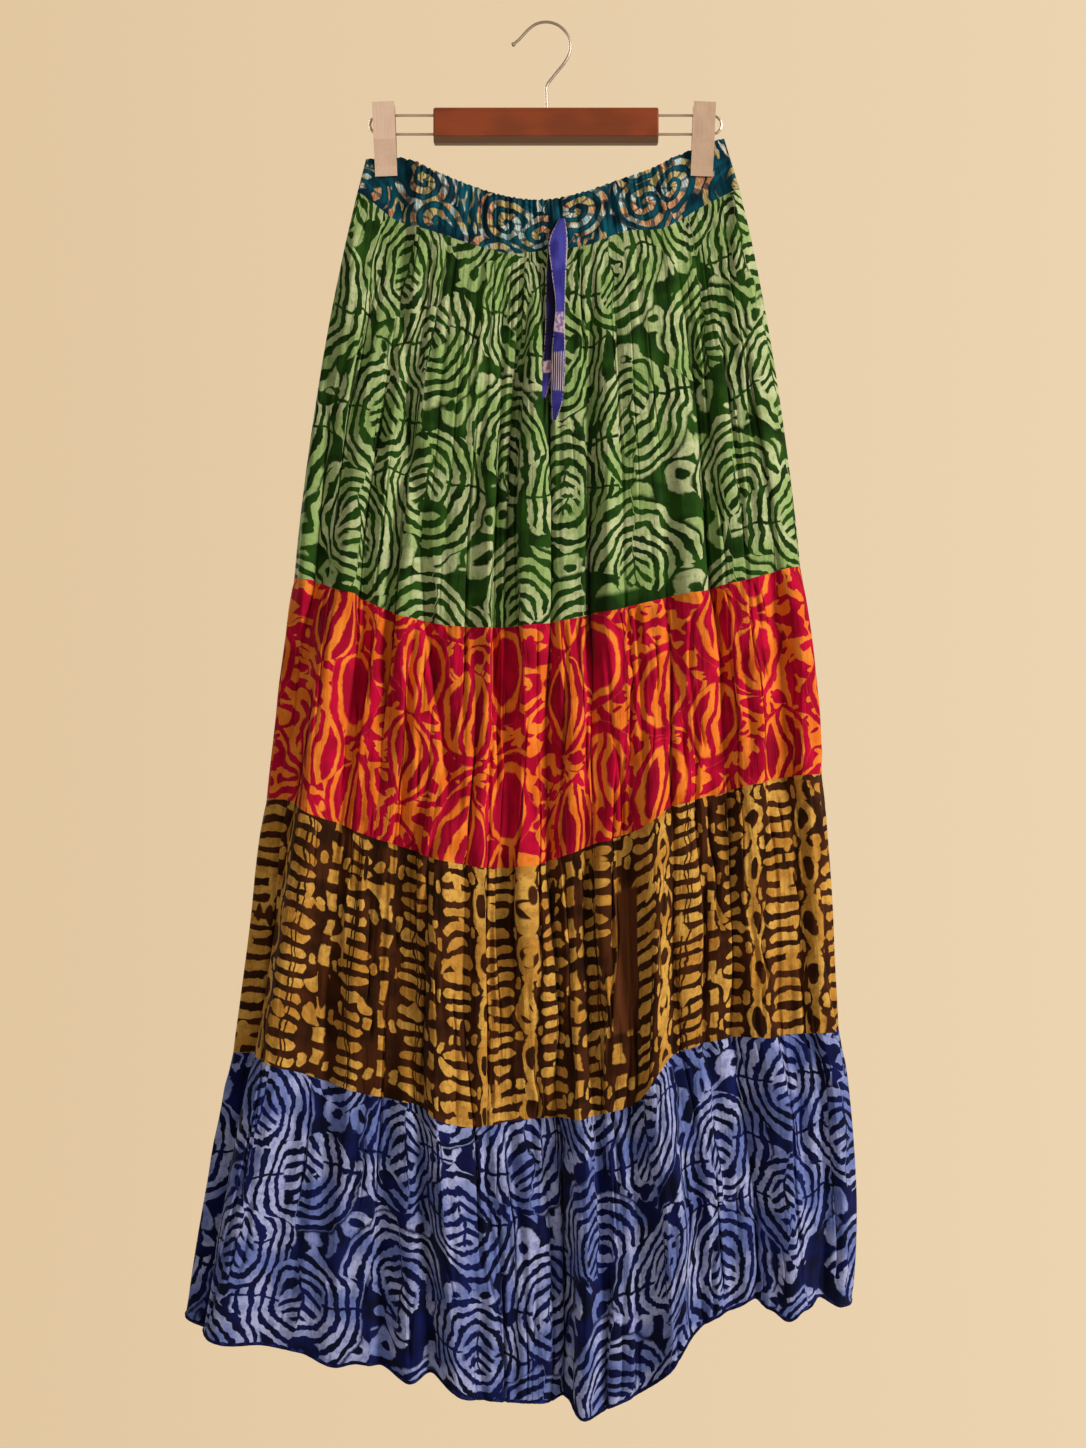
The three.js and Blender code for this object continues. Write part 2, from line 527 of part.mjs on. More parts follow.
const COLOURS = {
  steel: { color: 0xc9b5a2, roughness: 0.28, metalness: 1 },
  nickel: { color: 0xd2bdae, roughness: 0.35, metalness: 1 },
  wood: { color: 0x7a351c, roughness: 0.45, metalness: 0 },
  purple: { color: 0x4a3f8f, roughness: 0.85, metalness: 0 },
};

const skirt = new THREE.Group();

function addMesh(name, geometry, finish, parent = skirt) {
  const mesh = new THREE.Mesh(geometry, new THREE.MeshStandardMaterial(finish));
  mesh.name = name;
  parent.add(mesh);
  return mesh;
}

const HALVES = [
  { side: "front", facing: -1, folds: FRONT_FOLDS, seed: 7, columns: columnsOf(FRONT_FOLDS) },
  { side: "back", facing: 1, folds: BACK_FOLDS, seed: 1007, columns: columnsOf(BACK_FOLDS) },
];
for (const half of HALVES) {
  const cloth = (color) => ({ color, roughness: 0.85, metalness: 0 });
  const band = panel(-1, 0, BAND.rows, half);
  addMesh(`waistband_${half.side}`, wallGeometry(band, WALL, half.facing, true), cloth(BAND.colour));
  TIERS.forEach((tier, index) => {
    const grid = panel(index, index + 1, tier.rows, half);
    const name = `tier_${index + 1}_${half.side}`;
    addMesh(name, wallGeometry(grid, WALL, half.facing, true), cloth(tier.colour));
  });
}
addMesh("tie_long", tie(TIE_LONG), COLOURS.purple);
addMesh("tie_short", tie(TIE_SHORT), COLOURS.purple);

addMesh("hanger_hook", hookGeometry(), COLOURS.steel);
addMesh("hanger_bar", barGeometry(), COLOURS.wood);
const SIDES = [
  { side: "left", x: CLIP_X.left, end: WIRE.leftEnd, inward: 1 },
  { side: "right", x: CLIP_X.right, end: WIRE.rightEnd, inward: -1 },
];
for (const { side, x, end, inward } of SIDES) {
  const start = -inward * (BAR.length / 2 + SEAM_GAP);
  addMesh(`wire_${side}`, rod(new HairpinCurve(start, end), WIRE.radius, 8, 30), COLOURS.steel);
  const clip = new THREE.Group();
  const pivot = (WIRE.upper + WIRE.lower) / 2;
  clip.position.set(x, 0, pivot);
  clip.rotation.y = THREE.MathUtils.degToRad(-inward * CLIP_TILT);
  skirt.add(clip);
  addMesh(`clip_${side}_front`, jawGeometry(-1).translate(0, 0, -pivot), COLOURS.nickel, clip);
  addMesh(`clip_${side}_back`, jawGeometry(1).translate(0, 0, -pivot), COLOURS.nickel, clip);
  const barrel = CLIP.body - CLIP.plate - SEAM_GAP;
  const across = new THREE.CylinderGeometry(barrel, barrel, CLIP_BARREL, 16).rotateZ(Math.PI / 2);
  addMesh(`clip_${side}_barrel`, across, COLOURS.nickel, clip);
}

export default skirt;
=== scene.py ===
"""Tiered maxi skirt of printed cloth, clipped by its waistband to a wooden hanger.

Sizes are millimetres, turned into metres where a mesh is made; the front faces -Y and the origin
is the hook's seat. The cloth follows the solids' own levels, threads and folds, with finer ones."""
import math

import bmesh
import bpy
import numpy as np
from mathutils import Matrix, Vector


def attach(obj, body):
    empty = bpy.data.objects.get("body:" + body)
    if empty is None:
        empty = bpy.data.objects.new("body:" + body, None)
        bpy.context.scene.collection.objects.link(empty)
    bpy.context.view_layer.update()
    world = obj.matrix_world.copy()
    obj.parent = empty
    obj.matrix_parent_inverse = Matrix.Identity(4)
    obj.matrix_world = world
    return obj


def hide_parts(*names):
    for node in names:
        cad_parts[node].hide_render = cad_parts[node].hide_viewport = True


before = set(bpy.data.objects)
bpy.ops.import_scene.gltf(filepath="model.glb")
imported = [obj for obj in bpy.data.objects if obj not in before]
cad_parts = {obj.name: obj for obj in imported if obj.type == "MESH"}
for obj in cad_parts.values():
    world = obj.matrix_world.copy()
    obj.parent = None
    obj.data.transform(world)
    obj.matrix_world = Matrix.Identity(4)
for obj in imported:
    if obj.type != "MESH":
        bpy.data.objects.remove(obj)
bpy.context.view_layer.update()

MM = 0.001

# Levels: a line round the skirt, its left and right ends, half the tube's depth at its sides, and
# how far the outline bows out between this line and the next.
LEVELS = [
    ("top", -154.5, 153, 6.5, 0, 0),
    ("waist", -162, 166.5, 8.5, 6, 5),
    ("seam1", -216, 218, 19, 0, 4),
    ("seam2", -239.5, 236.5, 26, 0, 1),
    ("seam3", -268, 251, 32, 1, 8),
    ("hem", -309, 262, 38, 0, 0),
]
# How far each line hangs below the hook's seat, at eleven even stations from left to right.
DROPS = {
    "top": [116.5, 115.5, 129, 141.5, 150.5, 153, 147, 136.5, 125.5, 109.5, 99],
    "waist": [145.5, 169.5, 180.5, 191.5, 199.5, 196.5, 192.5, 180.5, 177.5, 158.5, 143.5],
    "seam1": [476.5, 488.5, 506.5, 517.5, 519.5, 515.5, 507.5, 497.5, 487.5, 477.5, 466.5],
    "seam2": [664.5, 673.5, 691.5, 705.5, 716.5, 711.5, 694.5, 680.5, 667.5, 655.5, 649.5],
    "seam3": [881.5, 884.5, 901.5, 911.5, 918.5, 912.5, 909.5, 892.5, 876.5, 874.5, 871.5],
    "hem": [1108, 1120.5, 1131.5, 1141.5, 1144.5, 1150.5, 1147.5, 1120.5, 1080.5, 1077.5, 1078.5],
}
# Where four vertical threads lie across the width, at each of the lines above.
THREADS = [
    (0.1, [0.1, 0.1, 0.085, 0.084, 0.077, 0.068]),
    (0.33, [0.33, 0.33, 0.32, 0.316, 0.347, 0.42]),
    (0.56, [0.54, 0.54, 0.54, 0.55, 0.579, 0.598]),
    (0.7, [0.7, 0.7, 0.69, 0.687, 0.684, 0.727]),
]
# Large folds: at, wide, from, to, high, lean, then the steps at seam 2, seam 3 and the hem, and
# how much lower the hem hangs on the fold. Heights count levels, 0 at the waist, 4 at the hem.
FRONT_FOLDS = [
    (0.1, 0.042, 0.9, 5, 17, -4, 7, 9, 0, 3),
    (0.045, 0.03, 1, 5, -10, 0, 0, 0, 0, 8),
    (0.15, 0.025, 0.1, 2.6, -5, 0, 0, 0, 0, 0),
    (0.21, 0.028, 0, 1.7, -6, 0, 0, 0, 0, 0),
    (0.2, 0.03, 2.2, 5, 6, 3, 0, 0, 0, 6),
    (0.275, 0.026, 2.6, 5, 8, 3, 0, 0, 0, 10),
    (0.33, 0.042, 1.6, 5, 16, -6, 0, 13, 20, 4),
    (0.385, 0.025, 0.3, 2.2, 5, 0, 0, 0, 0, 0),
    (0.445, 0.03, 0, 3.5, -8, -3, 0, 0, 0, 0),
    (0.515, 0.026, 0, 5, -8, 0, 0, 0, 0, -3),
    (0.56, 0.036, 2.7, 5, 14, -3, 0, 0, 15, 6),
    (0.61, 0.026, 0, 2.1, -6, 0, 0, 0, 0, 0),
    (0.7, 0.04, 1.5, 5, 14, 2, -13, -31, -18, 0),
    (0.75, 0.026, 0.2, 2, -6, 0, 0, 0, 0, 0),
    (0.81, 0.03, 0, 5, -8, 3, 0, 0, 0, -7),
    (0.865, 0.026, 0, 1.3, -5, 0, 0, 0, 0, 0),
    (0.865, 0.028, 2.8, 5, 6, 0, 0, 0, 0, 8),
    (0.92, 0.03, 0.9, 5, -8, 0, 0, 0, 0, -8),
]
BACK_FOLDS = [
    (0.09, 0.03, 0.8, 5, -8, 0, 0, 0, 0, -4),
    (0.16, 0.03, 0.1, 2.4, -6, 0, 0, 0, 0, 0),
    (0.23, 0.038, 1.3, 5, 14, 18, -8, -12, -8, 5),
    (0.31, 0.028, 0, 3.4, -7, 0, 0, 0, 0, 0),
    (0.38, 0.03, 2.2, 5, 8, 3, 0, 0, 0, 8),
    (0.45, 0.03, 0, 5, -8, 0, 0, 0, 0, -4),
    (0.54, 0.028, 0.2, 2.6, -6, 0, 0, 0, 0, 0),
    (0.62, 0.04, 1.7, 5, 15, -19, 5, 14, 12, 4),
    (0.7, 0.03, 0, 5, -7, 0, 0, 0, 0, -3),
    (0.78, 0.028, 0.1, 2.2, -6, 0, 0, 0, 0, 0),
    (0.84, 0.03, 2.4, 5, 8, -3, 0, 0, 0, 7),
    (0.91, 0.03, 0.6, 5, -8, 0, 0, 0, 0, -4),
]
# Sharp creases of the thin cloth beside and between the folds: at, half its width as a share of
# the threads, from, to, how deep, and how far its crest is pushed over it to the right.
FRONT_CREASES = [
    (0.052, 0.007, 0.1, 3.3, 5, 4),
    (0.083, 0.008, 0.1, 4.2, 6, 5),
    (0.145, 0.007, 0, 2.3, 6.5, 5),
    (0.175, 0.006, 0.9, 3, 4.5, -3),
    (0.215, 0.007, 0, 1.9, 6.5, -5),
    (0.245, 0.006, 1, 4.2, 4.5, 3),
    (0.295, 0.006, 1, 2.6, 5, -3.5),
    (0.35, 0.006, 0.2, 1.7, 4, 3),
    (0.372, 0.007, 1, 4.2, 5, 4),
    (0.405, 0.008, 0.2, 4.2, 7, 6),
    (0.432, 0.006, 1, 3.4, 5, -3.5),
    (0.463, 0.007, 0, 3.2, 6.5, -5),
    (0.49, 0.006, 1, 4.2, 5, 4),
    (0.517, 0.009, 0, 4.2, 8, 6),
    (0.545, 0.006, 1.1, 3, 4.5, -3),
    (0.6, 0.008, 0, 4.2, 7, -5.5),
    (0.628, 0.006, 1, 3.1, 5, 3.5),
    (0.662, 0.007, 0.1, 1.9, 5, 4),
    (0.738, 0.006, 0.2, 3.2, 5, -4),
    (0.772, 0.007, 1, 4.2, 5.5, 4),
    (0.812, 0.009, 0, 4.2, 8, 6.5),
    (0.842, 0.006, 0.1, 2.2, 4.5, -3),
    (0.88, 0.007, 0.2, 4.2, 6, 4.5),
    (0.935, 0.007, 0.3, 4.2, 5, -4),
]
BACK_CREASES = [
    (0.06, 0.007, 0.1, 3.6, 5, 4),
    (0.105, 0.007, 0.2, 4.2, 5.5, -4),
    (0.155, 0.008, 0, 2.2, 6.5, 5),
    (0.195, 0.006, 0.9, 3.2, 4.5, 3),
    (0.27, 0.007, 0.1, 4.2, 6, -4.5),
    (0.315, 0.008, 0, 3.1, 6.5, 5.5),
    (0.352, 0.006, 1, 2.8, 4.5, -3),
    (0.415, 0.007, 0.1, 4.2, 5.5, 4),
    (0.455, 0.009, 0, 4.2, 7.5, -6),
    (0.5, 0.006, 1, 3.2, 4.5, 3.5),
    (0.545, 0.008, 0.1, 2.4, 6.5, 5),
    (0.582, 0.006, 0.2, 4.2, 5, -3.5),
    (0.665, 0.007, 1, 4.2, 5.5, 4),
    (0.705, 0.008, 0, 4.2, 6.5, -5),
    (0.742, 0.006, 1, 2.9, 4.5, 3),
    (0.785, 0.008, 0, 2.1, 6, 5),
    (0.83, 0.006, 0.2, 3.2, 4.5, -3.5),
    (0.875, 0.007, 1, 4.2, 5.5, 4),
    (0.915, 0.008, 0.1, 4.2, 6, -5),
    (0.955, 0.006, 0.3, 3.4, 4.5, 3),
]
# Broad soft troughs: the height and thread at each point of the path, half the width as a share of
# the threads, and how deep. The right side of each rises slowly, so it lies in its own shade.
FRONT_TROUGHS = [
    ([(0.1, 0.03), (1, 0.07), (1.9, 0.088), (2.5, 0.078), (3.1, 0.055), (4.3, 0.05)], 0.03, 8),
    ([(2.4, 0.165), (3.5, 0.185)], 0.02, 7),
    (
        [(0, 0.125), (0.7, 0.25), (1.45, 0.325), (1.75, 0.345), (2.25, 0.318), (4.8, 0.31)],
        0.021, 9,
    ),
    ([(0, 0.4), (2, 0.433)], 0.017, 6),
    ([(1.1, 0.505), (3, 0.487), (3.5, 0.505), (5.2, 0.515)], 0.036, 9),
    ([(0, 0.635), (1.1, 0.61), (1.8, 0.594), (3.8, 0.584)], 0.025, 8),
    ([(1.6, 0.8), (3, 0.784), (4.5, 0.79)], 0.018, 8),
    ([(0.8, 0.94), (2, 0.905), (3.2, 0.9), (4.2, 0.93)], 0.036, 9),
    ([(0, 0.87), (0.9, 0.835)], 0.02, 6),
    ([(3.2, 0.255), (5.2, 0.26)], 0.02, 8),
]
BACK_TROUGHS = [
    ([(0.1, 0.04), (2, 0.08), (4.4, 0.06)], 0.028, 8),
    ([(0, 0.17), (1.6, 0.19)], 0.02, 6),
    ([(0.6, 0.29), (2.2, 0.32), (4.7, 0.3)], 0.026, 8),
    ([(1.2, 0.47), (3, 0.45), (4.8, 0.46)], 0.032, 9),
    ([(0, 0.56), (1.9, 0.6), (3.5, 0.59)], 0.022, 8),
    ([(2.1, 0.73), (5.2, 0.745)], 0.026, 8),
    ([(0, 0.82), (1.4, 0.835)], 0.02, 6),
    ([(0.9, 0.93), (4.1, 0.94)], 0.028, 8),
]
# The solids' gathers on each half of a tier and how high they are; then the fine gathers that the
# thread at the seam makes between them, and the crinkle that runs all the way down.
TIERS = [
    ("tier_1", "green_cloth", 13, 2.6, 46, 2.2, 1.4),
    ("tier_2", "red_cloth", 14, 2.8, 56, 2.9, 2.7),
    ("tier_3", "brown_cloth", 14, 3, 60, 3.1, 2.8),
    ("tier_4", "blue_cloth", 14, 3.4, 58, 2.9, 2.4),
]
HALVES = [
    ("front", 1, FRONT_FOLDS, FRONT_CREASES, FRONT_TROUGHS, 7),
    ("back", -1, BACK_FOLDS, BACK_CREASES, BACK_TROUGHS, 1007),
]
SEAM_GAP = 0.3
PINCHED_DEPTH = 0.75
CROWN = 0.25
SIDE_CALM = 0.035
CLIP_CENTRES = (-138.7, 135.3)
CLIP_FLAT, CLIP_FADE = 19, 8.5
SHIRRING_COUNT, SHIRRING_HEIGHT = 26, 1.1
FOLD_EASE = 0.4
SCATTER = 12.9898
# How the solids' gathers vary: in place, reach and height, and how they fade out downwards.
GATHER = {
    "stray": 0.5, "reach": (0.45, 0.6), "loss": 0.75, "tall": (0.45, 0.9), "flat": 0.14,
    "narrow": 0.95,
}
# The fine gathers: stray and drift of each, its reach down the tier, its breadth and its height.
FINE = {
    "stray": 0.8, "drift": 0.012, "reach": (0.12, 1.1), "wide": (0.55, 0.5), "loss": 0.85,
    "tall": (0.4, 0.9), "lean": 0.5,
}
# The crinkles of each half of a tier: how many, and where each starts, its length and so on.
CRINKLE = {
    "count": 95, "start": (-0.35, 1.3), "length": (0.18, 0.75), "slant": 0.022,
    "wide": (0.0028, 0.0055), "deep": (0.5, 1.4), "shiver": 0.0012,
}
# The band's pleats: how many all across a half, and how high.
PLEATS = [(52, 0.85), (71, 0.6), (104, 0.35)]
BACK_PRINT_SHIFT = 1700
COLUMNS = 620
ROWS = 68
BAND_ROWS = 30


def add_object(name, data):
    thing = bpy.data.objects.new(name, data)
    bpy.context.collection.objects.link(thing)
    return thing


def smooth(low, high, value):
    share = np.clip((value - low) / (high - low), 0, 1)
    return share * share * (3 - 2 * share)


def bump(offset):
    return np.where(np.abs(offset) < 1, 0.5 + 0.5 * np.cos(np.pi * offset), 0)


def within(value, start, end, rise, fall=None):
    """1 between two limits and 0 outside them, easing in after the one and out before the other."""
    fall = rise if fall is None else fall
    return smooth(start, start + rise, value) * (1 - smooth(end - fall, end, value))


def scatter(index):
    """A steady number from 0 to 1 for each whole number, which makes gathers uneven."""
    wave = np.sin(index * SCATTER) * 437.585
    return wave - np.floor(wave)


def vary(limits, index, power=1):
    """A steady number for each whole number: the first limit, and up to the second added to it."""
    least, spread = limits
    return least + spread * scatter(index) ** power


def zeros_over(across, down):
    """Zeros over a grid of columns and rows."""
    return np.zeros(np.broadcast(across, down).shape)


def drop_of(line, share):
    """A curve through the stations' drops of one line, at a share of the width."""
    drops = np.array(DROPS[line], float)
    last = len(drops) - 1
    place = np.clip(share, 0, 1) * last
    first = np.minimum(last - 1, np.floor(place)).astype(int)
    t = place - first
    a, b, c, d = (drops[np.clip(first + step, 0, last)] for step in (-1, 0, 1, 2))
    bend = 3 * (b - c) + d - a
    return b + 0.5 * t * (c - a + t * (2 * a - 5 * b + 4 * c - d + t * bend))


def section(share, width, depth):
    """Half of the tube's section, round at both sides and straight between: x, y and normal."""
    quarter = math.pi / 2 * depth
    length = width - 2 * depth + 2 * quarter
    run = share * length
    start, end = run < quarter, run > length - quarter
    angle = np.where(start, run, length - run) / depth
    x = np.where(start, depth - depth * np.cos(angle), depth + run - quarter)
    x = np.where(end, width - depth + depth * np.cos(angle), x)
    round_side = start | end
    y = np.where(round_side, depth * np.sin(angle), depth)
    nx = np.where(start, -np.cos(angle), np.where(end, np.cos(angle), 0))
    ny = np.where(round_side, np.sin(angle), 1)
    return x, y, nx, ny


def thread_share(thread, level):
    """Where a thread lies along a half's section at one of the lines, as a share of its length."""
    _, left, right, depth, _, _ = LEVELS[level]
    width = right - left
    rounding = (math.pi / 2 - 1) * depth
    places = [(row[level] * width + rounding) / (width + 2 * rounding) for _, row in THREADS]
    return np.interp(thread, [0, *(at for at, _ in THREADS), 1], [0, *places, 1])


def steps_at(thread, level, folds):
    """How much lower a line hangs where a fold carries the cloth down."""
    drop = np.zeros_like(thread)
    for at, wide, _, _, _, _, step2, step3, step_hem, dip in folds:
        step = {3: step2, 4: step3, 5: step_hem}.get(level, 0)
        drop = drop + step * smooth(-1, 1, (thread - at) / wide)
        if level == len(LEVELS) - 1:
            drop = drop + dip * bump((thread - at) / wide)
    return drop


def solid_folds(thread, height, tier, folds, seed):
    """The large folds and gathers that the solids have: how far out, and how far to the right."""
    out = zeros_over(thread, height)
    side = np.zeros_like(out)
    for at, wide, start, end, high, lean, *_ in folds:
        amount = within(height, start, end, FOLD_EASE) * bump((thread - at) / wide)
        out += high * amount
        side += lean * amount
    if tier < 0:
        full = within(height, -1.02, 0, 0.22, 0.2)
        wave = np.cos(2 * math.pi * SHIRRING_COUNT * thread) * (0.35 + 0.65 * full)
        return out + SHIRRING_HEIGHT * wave * (1 - smooth(-0.15, 0, height)), side
    _, _, gathers, tall, _, _, _ = TIERS[tier]
    down = height - tier
    for k in range(gathers):
        number = seed + tier * 50 + k
        middle = (k + 0.5 + GATHER["stray"] * (scatter(number) - 0.5)) / gathers
        reach = vary(GATHER["reach"], number + 300)
        fade = 1 - GATHER["loss"] * smooth(reach - 0.3, reach + 0.1, down)
        amount = tall * vary(GATHER["tall"], number + 600)
        amount = amount * fade * within(down, 0, 1, GATHER["flat"])
        out += amount * bump((thread - middle) * gathers * GATHER["narrow"])
    return out, side


def crease_folds(thread, height, creases, seed):
    """Sharp creases, each a trough with a crest pushed over it, wandering a little as it falls."""
    out = zeros_over(thread, height)
    side = np.zeros_like(out)
    for k, (at, wide, start, end, deep, lean) in enumerate(creases):
        phase = 6.3 * scatter(seed + 40 + k)
        wander = 0.0035 * np.sin(3.1 * height + phase) + 0.002 * np.sin(8.3 * height + 2 * phase)
        strength = within(height, start, end, 0.35, 0.5)
        strength = strength * (0.62 + 0.38 * np.sin(4.3 * height + 1.7 * phase))
        breadth = wide * (1 + 0.35 * np.sin(2.7 * height + 2.3 * phase))
        off = (thread - at - wander) / breadth
        toward = 1 if lean > 0 else -1
        out += strength * deep * (0.8 * bump((off + 2.4 * toward) / 3) - 1.1 * bump(off))
        out -= strength * deep * 0.45 * bump((off - 2.2 * toward) / 2.6)
        side += strength * lean * bump((off + 1.6 * toward) / 2.4)
    return out, side


def trough_folds(thread, height, troughs, seed):
    """Broad soft troughs that follow a path down the skirt, steep on the left of their bottom."""
    out = zeros_over(thread, height)
    for k, (path, wide, deep) in enumerate(troughs):
        heights, threads = np.array(path).T
        strength = within(height, heights[0], heights[-1], 0.35)
        strength = strength * (0.85 + 0.15 * np.sin(5.1 * height + 6.3 * scatter(seed + 90 + k)))
        off = (thread - np.interp(height, heights, threads)) / wide
        out -= strength * deep * smooth(-1, -0.35, off) * (1 - smooth(-0.45, 1, off)) * 1.1
    return out, np.zeros_like(out)


def fine_folds(thread, height, tier, seed):
    """The small uneven gathers below a seam and the crinkle of the crepe."""
    _, _, _, _, count, tall, crinkle = TIERS[tier]
    down = height - tier
    out = zeros_over(thread, height)
    side = np.zeros_like(out)
    for k in range(count):
        number = seed + 2000 + tier * 97 + k
        middle = (k + 0.5 + FINE["stray"] * (scatter(number) - 0.5)) / count
        drift = FINE["drift"] * (scatter(number + 11) - 0.5) * down
        reach = vary(FINE["reach"], number + 23, 1.6)
        wide = vary(FINE["wide"], number + 31) / count
        fade = 1 - FINE["loss"] * smooth(reach - 0.1, reach + 0.35, down)
        amount = tall * vary(FINE["tall"], number + 57) * fade * smooth(0, 0.035, down)
        off = (thread - middle - drift) / wide
        out += amount * bump(off)
        side += FINE["lean"] * amount * (scatter(number + 71) - 0.5) * bump(off / 1.2)
    for k in range(CRINKLE["count"]):
        number = seed + 5000 + tier * 131 + k
        slant = CRINKLE["slant"] * (scatter(number + 37) - 0.5)
        wide = vary(CRINKLE["wide"], number + 43, 2)
        deep = crinkle * vary(CRINKLE["deep"], number + 59)
        start = vary(CRINKLE["start"], number + 17)
        along = (down - start) / vary(CRINKLE["length"], number + 29, 2)
        shiver = CRINKLE["shiver"] * np.sin(19 * down + number)
        off = (thread - scatter(number) - slant * along - shiver) / wide
        here = deep * bump(2 * along - 1)
        out += here * (0.55 * bump((off + 1.8) / 2.2) - bump(off))
        side += 0.5 * here * bump((off + 1.3) / 2)
    out = out - 0.4 * tall * (1 - 0.6 * down)
    edges = smooth(0, 0.05, down) * (0.35 + 0.65 * (1 - smooth(0.93, 1, down)))
    return out * edges, side * edges


def band_folds(thread, height, seed):
    """The narrow pleats that the elastic makes, tightest at the top of the band."""
    tight = 0.35 + 0.65 * (1 - smooth(-0.7, -0.1, height))
    out = zeros_over(thread, height)
    for k, (cycles, tall) in enumerate(PLEATS):
        phase = 6.3 * scatter(seed + 500 + k)
        slow = np.sin(2 * math.pi * (3 + k) * thread + phase)
        patch = 0.6 + 0.4 * np.sin(4.1 * height + 17 * thread + phase)
        wave = np.sin(2 * math.pi * cycles * thread + 1.8 * slow + 0.6 * height + phase)
        out += tall * wave * patch * tight
    return out * (1 - smooth(-0.08, 0, height)), np.zeros_like(out)


def pinch_at(x, height):
    """How hard the clips press the two layers together, from 0 to 1."""
    press = zeros_over(x, height)
    for centre in CLIP_CENTRES:
        press += 1 - smooth(CLIP_FLAT, CLIP_FLAT + CLIP_FADE, np.abs(x - centre))
    return np.clip(press, 0, 1) * (1 - smooth(-0.36, 0.45, height))


def cloth(level, thread, down, half):
    """Points of the cloth between a line and the next, as rows of threads: x, y and z."""
    _, facing, folds, creases, troughs, seed = half
    thread, down = thread[None, :], down[:, None]
    _, left0, right0, depth0, bow_left, bow_right = LEVELS[level]
    _, left1, right1, depth1, _, _ = LEVELS[level + 1]
    height = level - 1 + down
    bow = 4 * down * (1 - down)
    left = left0 + (left1 - left0) * down - bow_left * bow
    right = right0 + (right1 - right0) * down + bow_right * bow
    depth = depth0 + (depth1 - depth0) * down
    shares = [thread_share(thread, level), thread_share(thread, level + 1)]
    share = shares[0] + (shares[1] - shares[0]) * down
    base_x, base_y, nx, ny = section(share, right - left, depth)
    drops = []
    for index in range(2):
        name, low, high, deep, *_ = LEVELS[level + index]
        across = section(shares[index], high - low, deep)[0] / (high - low)
        drops.append(drop_of(name, across) + steps_at(thread, level + index, folds))
    out, side = solid_folds(thread, height, level - 1, folds, seed)
    if level == 0:
        more = [band_folds(thread, height, seed)]
    else:
        more = [
            crease_folds(thread, height, creases, seed),
            trough_folds(thread, height, troughs, seed),
            fine_folds(thread, height, level - 1, seed),
        ]
    out = out + sum(extra[0] for extra in more)
    side = side + sum(extra[1] for extra in more)
    calm = within(thread, 0, 1, SIDE_CALM)
    out, side = out * calm, side * calm
    x = left + base_x
    pinch = pinch_at(x, height)
    crown = 1 + CROWN * np.sin(math.pi * base_x / (right - left))
    flat = base_y / depth * PINCHED_DEPTH
    inside = np.maximum(base_y * crown + ny * out, 0.6 * ny)
    y = inside + (flat - inside) * pinch
    x = x + (nx * out + ny * side) * (1 - pinch)
    z = -(drops[0] + (drops[1] - drops[0]) * down)
    return np.stack([x, facing * -(SEAM_GAP / 2 + y), z + 0 * x], axis=-1)


def run_along(row):
    """How far along a row of points each one lies."""
    return np.concatenate([[0], np.cumsum(np.linalg.norm(np.diff(row, axis=0), axis=1))])


def grid_mesh(name, points, uv, fit, flip=False):
    """A sheet of quads through rows of points, with its flat place and its share of the piece."""
    rows, columns = points.shape[:2]
    index = np.arange(rows * columns).reshape(rows, columns)
    corners = [index[:-1, :-1], index[1:, :-1], index[1:, 1:], index[:-1, 1:]]
    quads = np.stack(corners[::-1] if flip else corners, axis=-1).reshape(-1, 4)
    mesh = bpy.data.meshes.new(name)
    mesh.vertices.add(rows * columns)
    mesh.vertices.foreach_set("co", (points * MM).reshape(-1))
    mesh.loops.add(quads.size)
    mesh.loops.foreach_set("vertex_index", quads.reshape(-1))
    mesh.polygons.add(len(quads))
    mesh.polygons.foreach_set("loop_start", np.arange(0, quads.size, 4))
    mesh.update(calc_edges=True)
    mesh.shade_smooth()
    for layer, places in (("cloth", uv * MM), ("fit", fit)):
        spread = places.reshape(-1, 2)[quads.reshape(-1)]
        mesh.uv_layers.new(name=layer).data.foreach_set("uv", spread.reshape(-1))
    mesh.validate()
    return add_object(name, mesh)


def panel(name, level, half, rows, extra=None):
    """One half of a tier or of the band, laid out flat in its first UV layer."""
    thread = np.linspace(0, 1, COLUMNS + 1)
    down = np.linspace(0, 1, rows + 1)
    points = cloth(level, thread, down, half)
    if extra is not None:
        points = points + extra(thread[None, :], down[:, None])
    fall = run_along(points[:, :, 2:].mean(axis=1))
    is_back = half[0] == "back"
    across = run_along(points[rows // 2]) + BACK_PRINT_SHIFT * is_back
    uv = np.stack(np.meshgrid(across, -fall), axis=-1)
    fit = np.stack(np.meshgrid(thread, down), axis=-1)
    return grid_mesh(name, points, uv, fit, flip=is_back)


def add_node(tree, kind):
    return tree.nodes.new("ShaderNode" + kind)


def light_of(rgb):
    """A colour as a screen shows it, from 0 to 255, turned into light."""
    share = [value / 255 for value in rgb]
    return (*((s / 12.92) if s < 0.04045 else ((s + 0.055) / 1.055) ** 2.4 for s in share), 1)


def feed(tree, slots, values):
    """Joins each value to its slot, or sets the slot where the value is a plain number."""
    for slot, value in zip(slots, values):
        if isinstance(value, Field):
            tree.links.new(value.socket, slot)
        else:
            slot.default_value = value


